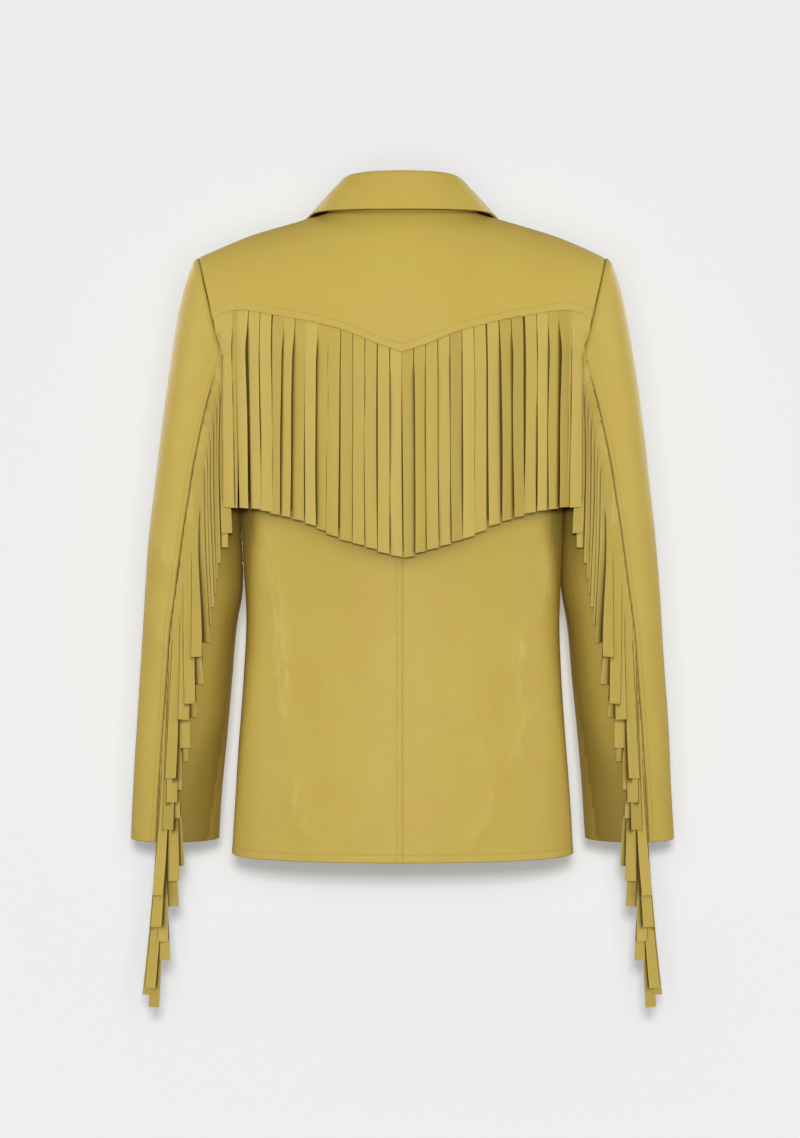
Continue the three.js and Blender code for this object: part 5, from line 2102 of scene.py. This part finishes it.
        tip = lower[..., 2] - self.drop - longer + chance(self.uneven)
        tip = tip + chance(self.slanted) * (t - 0.5)
        start = lerp(lower[..., 2], upper[..., 2], t)
        z = lerp(start, tip, s)
        fallen = start - z
        bend = 1 - np.exp(-fallen / self.bend)
        seen = self.width * (1 - turned * np.sin(np.pi * s**0.8) ** 2)
        inner = lerp(upper[..., 0], lower[..., 0] - seen, bend)
        outer = lower[..., 0] + 0.4 * bend
        bow = chance(self.bow) * np.sin(np.pi * s)
        x = lerp(outer, inner, t) - lean * s**1.2 + bow
        rest = np.maximum(z, CUFF_Z)
        held = np.clip(x, lower[..., 0] - 22, None)
        y = self.on_back(np.minimum(held, lower[..., 0] + 1.5), rest)
        left = smooth(fallen, *self.leaves)
        y = lerp(np.interp(start, line[::-1, 2], line[::-1, 1]), y, left)
        far = self.reach * share * (fallen / self.drop) ** 2
        twist = np.radians(chance(self.twist)) * s**2 * self.width * (t - 0.5)
        across = slant * self.width * t * left
        belly = self.belly * (1 - (2 * t - 1) ** 2) * smooth(fallen, 0, 25)
        return points_of(x, y + self.clear + far + across + twist + belly, z), fallen

    def build(self, shop: Workshop) -> None:
        """Makes the strands of one sleeve."""
        shape, rng = Shape(), np.random.default_rng(19)
        grids, fallen = self.strands()
        for i, base in enumerate(grids):
            tone = rng.uniform(-0.8, 0.8)
            shade = self.overlap.shade(grids, fallen, i)
            shade = np.maximum(shade, 0.8 * beside_fringe(base[..., 0], base[..., 2]))
            ribbon(shape, base, self.mirror, self.wall, tone, shade)
        cut = Cut(*self.strip, "hung", (f"top_sleeve_{self.side}",))
        name = f"sleeve_fringe_strands_{self.side}"
        shop.fringe(shape, name, f"sleeve_fringe_{self.side}", cut)


# ---- button


@dataclass
class Button:
    """A four-holed horn button, sewn to the right front."""

    radius: float = 11.5
    height: float = 4.0
    dish: float = 1.0
    z: float = -347.0
    hole_circle: float = 3.1
    hole: float = 1.05
    hole_depth: float = 2.2
    rings: int = 56
    spokes: int = 96
    # how far in from the edge, and how far below the rim's top
    rim: Table = ((11.5, 1.0), (4.0, 1.0), (2.6, 0.1), (1.6, 0.0), (0.6, 0.5), (0.0, 1.6))

    def heights(self, r: Array, turn: Array) -> Array:
        """Returns the front's height: a rounded rim, a dished middle and four deep holes.

        Args:
            r: Distances from the middle.
            turn: Angles round it.

        Returns:
            The rim's section turned round the middle, less a smooth pit at each hole.
        """
        profile = Curve([(self.radius - into, self.height - down) for into, down in self.rim])
        holes = np.full(r.shape, 1e9)
        for quarter in np.radians((45, 135, 225, 315)):
            dx = r * np.cos(turn) - self.hole_circle * np.cos(quarter)
            dz = r * np.sin(turn) - self.hole_circle * np.sin(quarter)
            holes = np.minimum(holes, np.hypot(dx, dz))
        pit = 1 - smooth(holes, self.hole - 0.35, self.hole + 0.25)
        return profile(r) - self.hole_depth * pit

    def build(self, shop: Workshop) -> None:
        """Makes the button and the cross of thread that holds it."""
        levels = self.z + np.array((-self.radius, 0.0, self.radius))
        below, centre, above = front_place(np.zeros(3), levels, -1)
        slope = unit(above - below)
        out = np.array((0.0, -slope[2], slope[1]))
        right = np.array((1.0, 0.0, 0.0))
        centre = centre + out
        r = np.linspace(0.02, self.radius, self.rings)[:, None]
        turn = np.linspace(0, 2 * np.pi, self.spokes + 1)[None, :]
        front = self.heights(r + 0 * turn, turn + 0 * r)
        back = 0.9 * smooth(r, self.radius - 2.0, self.radius) + 0 * turn

        def lay(height: Array) -> Array:
            """Returns points over the button's disc."""
            spoke = np.cos(turn)[..., None] * right + np.sin(turn)[..., None] * slope
            return centre + r[..., None] * spoke + height[..., None] * out

        shape = Shape()
        shape.wall(Cloth(lay(front), 1), lay(front), lay(back))
        piece = shape.finish("horn_button", (shop.horn,), 40)
        merge_doubles(piece)
        shop.place(piece, "button", "button")
        sewn = Shape()
        reach = self.hole_circle * np.sqrt(0.5)
        half = reach + 1.5  # of a line that holds one stitch in its middle
        thread = Stitching(half * 0.999, 2 * reach + 1.0, 0.9)
        for side in (-1, 1):
            z = np.linspace(-half, half, 3)[:, None]
            line = centre + side * reach * right + z * slope
            line = line + out * (self.height - self.dish + 0.15)
            thread.sew(sewn, line, np.repeat(out[None], 3, axis=0), 1)
        cross = sewn.finish("button_thread", (shop.thread,), 80)
        shop.place(cross, "button")


def merge_doubles(piece: Piece) -> None:
    """Merges the vertices of a mesh that lie in one place."""
    work = bmesh.new()
    work.from_mesh(piece.data)
    bmesh.ops.remove_doubles(work, verts=work.verts, dist=2e-6)
    work.to_mesh(piece.data)
    work.free()


# ---- studio


class Falls(Enum):
    """What a light falls on, by how the backdrop is linked to it."""

    ON_BLAZER = "EXCLUDE"
    ON_BACKDROP = "INCLUDE"


@dataclass(frozen=True)
class Softbox:
    """A square soft light: where it stands, its side, and its power; it faces the blazer."""

    name: str
    place: Triple
    size: float
    power: float
    falls: Falls = Falls.ON_BLAZER


@dataclass
class Studio:
    """A pale floor and backdrop, soft light, and the camera behind the blazer."""

    camera: Triple = (0.0024, 2.8, -0.3693)
    frame_height: float = 1.18352  # of the plane through the shoulders
    backdrop_y: float = -0.165
    floor_z: float = -1.28
    set_half: float = 6.0
    floor_grey: float = 0.2
    paper_grey: float = 0.3
    target: Triple = (0.0, 0.0, -0.37)
    world: float = 0.10
    beyond: float = 0.80  # how bright the room looks past the set
    floor_glow: float = 0.62
    glow: float = 0.233
    glow_z: float = -0.2
    glow_spread: float = 0.115  # more of it a metre from its middle
    lights: tuple[Softbox, ...] = (
        Softbox("key", (0.0, 3.2, -0.10), 0.3, 58),
        Softbox("paper_key", (0.0, 3.2, -0.10), 0.22, 141, Falls.ON_BACKDROP),
        Softbox("paper_fill", (0.0, 2.6, -0.30), 0.8, 55, Falls.ON_BACKDROP),
        Softbox("side_left", (2.3, 0.9, 0.1), 1.6, 31),
        Softbox("side_right", (-2.3, 0.9, 0.1), 1.6, 31),
        Softbox("front", (0.0, -3.0, 0.1), 1.0, 30),
        Softbox("front_left", (1.6, -2.4, 0.6), 1.6, 30),
        Softbox("front_right", (-1.6, -2.4, 0.6), 1.6, 30),
        Softbox("top", (0.0, 0.3, 2.2), 1.6, 11),
    )

    def plain(self, name: str, grey: float) -> Shader:
        """Returns a matt grey surface with the faintest unevenness."""
        shader = Shader(name)
        colour = shader.blend(shader.noise(1.5, 2), (grey,) * 3, (grey * 0.985,) * 3)
        shader.set(Base_Color=colour, Roughness=0.9, Specular_IOR_Level=0.0)
        return shader

    def plane(self, name: str, corners: Sequence[Triple]) -> Piece:
        """Returns a flat sheet of the set."""
        mesh = bpy.data.meshes.new(name)
        mesh.from_pydata(corners, [], [(0, 1, 2, 3)])
        sheet = bpy.data.objects.new(name, mesh)
        bpy.context.scene.collection.objects.link(sheet)
        return sheet

    def build_set(self) -> Piece:
        """Makes the floor and the backdrop, which is clear from behind.

        Returns:
            The backdrop, whose glow grows with the square of the distance from its middle.
        """
        half, z, y = self.set_half, self.floor_z, self.backdrop_y
        corners = [(-half, -half, z), (half, -half, z), (half, half, z), (-half, half, z)]
        floor = self.plane("floor", corners)
        paint = self.plain("floor_paint", self.floor_grey)
        paint.set(Emission_Color=(1.0, 1.0, 1.0), Emission_Strength=self.floor_glow)
        floor.data.materials.append(paint.material)
        floor.visible_diffuse = floor.visible_glossy = False
        corners = [(half, y, z), (-half, y, z), (-half, y, half), (half, y, half)]
        backdrop = self.plane("backdrop", corners)
        shader = self.plain("backdrop_paper", self.paper_grey)
        foot = {0: shader.place, 1: (0.0, y, self.glow_z)}
        away = shader.node("ShaderNodeVectorMath", {"operation": "DISTANCE"}, foot, "Value")
        spread = (away * away).maths("MINIMUM", 1.0)
        shader.set(Emission_Color=spread * self.glow_spread + self.glow, Emission_Strength=1.0)
        tree = shader.tree
        behind = shader.node("ShaderNodeNewGeometry", None, None, "Backfacing")
        clear = shader.node("ShaderNodeBsdfTransparent")
        lit = Value(shader, shader.surface.outputs[0])
        mixed = shader.node("ShaderNodeMixShader", None, {0: behind, 1: lit, 2: clear})
        tree.links.new(mixed.socket, tree.nodes["Material Output"].inputs["Surface"])
        backdrop.data.materials.append(shader.material)
        backdrop.visible_shadow = backdrop.visible_transmission = False
        backdrop.visible_diffuse = backdrop.visible_glossy = False
        return backdrop

    def light(self, box: Softbox, backdrop: Piece) -> None:
        """Adds a soft light that faces the blazer.

        Args:
            box: The light.
            backdrop: The backdrop, which some lights spare and one alone serves.
        """
        lamp = bpy.data.lights.new(box.name, "AREA")
        lamp.shape, lamp.size, lamp.energy = "SQUARE", box.size, box.power
        item = bpy.data.objects.new(box.name, lamp)
        bpy.context.scene.collection.objects.link(item)
        item.location = box.place
        away = np.array(box.place) - np.array(self.target)
        tilt = math.atan2(math.hypot(away[0], away[1]), away[2])
        item.rotation_euler = (tilt, 0, math.atan2(away[0], -away[1]))
        linked = bpy.data.collections.new(f"{box.name}_links")
        linked.objects.link(backdrop)
        item.light_linking.receiver_collection = linked
        linked.collection_objects[0].light_linking.link_state = box.falls.value

    def room(self) -> bpy.types.World:
        """Returns the room beyond the set: a faint even light that looks pale itself."""
        world = bpy.data.worlds.new("studio")
        world.use_nodes = True
        nodes, links = world.node_tree.nodes, world.node_tree.links
        lit, seen = nodes["Background"], nodes.new("ShaderNodeBackground")
        for shade, strength in ((lit, self.world), (seen, self.beyond)):
            shade.inputs["Color"].default_value = (1, 1, 1, 1)
            shade.inputs["Strength"].default_value = strength
        mixed, straight = nodes.new("ShaderNodeMixShader"), nodes.new("ShaderNodeLightPath")
        ends = (straight.outputs["Is Camera Ray"], lit.outputs[0], seen.outputs[0])
        for end, socket in zip(ends, mixed.inputs):
            links.new(end, socket)
        links.new(mixed.outputs[0], nodes["World Output"].inputs["Surface"])
        return world

    def build(self) -> None:
        """Makes the set, the lights and the camera."""
        backdrop = self.build_set()
        for box in self.lights:
            self.light(box, backdrop)
        bpy.context.scene.world = self.room()
        camera = bpy.data.cameras.new("camera")
        camera.sensor_width = 36.0
        camera.lens = 36.0 * self.camera[1] / self.frame_height
        item = bpy.data.objects.new("camera", camera)
        item.location, item.rotation_euler = self.camera, (math.pi / 2, 0, math.pi)
        bpy.context.scene.collection.objects.link(item)
        bpy.context.scene.camera = item
        bpy.context.scene.view_settings.view_transform = "Standard"


# ---- the blazer


def main() -> None:
    """Builds the blazer piece by piece, then the studio."""
    logging.basicConfig(level=logging.INFO, format="%(message)s")
    shop = Workshop()
    Yoke().build(shop)
    Collar().build(shop)
    for side, mirror in (("left", 1), ("right", -1)):
        BackPanel(side, mirror).build(shop)
        FrontPanel(side, mirror).build(shop)
        Lapel(side, mirror).build(shop)
        Sleeve(side, mirror).build(shop)
        SleeveFringe(side, mirror).build(shop)
    YokeFringe().build(shop)
    Button().build(shop)
    Studio().build()


if __name__ == "__main__":
    main()
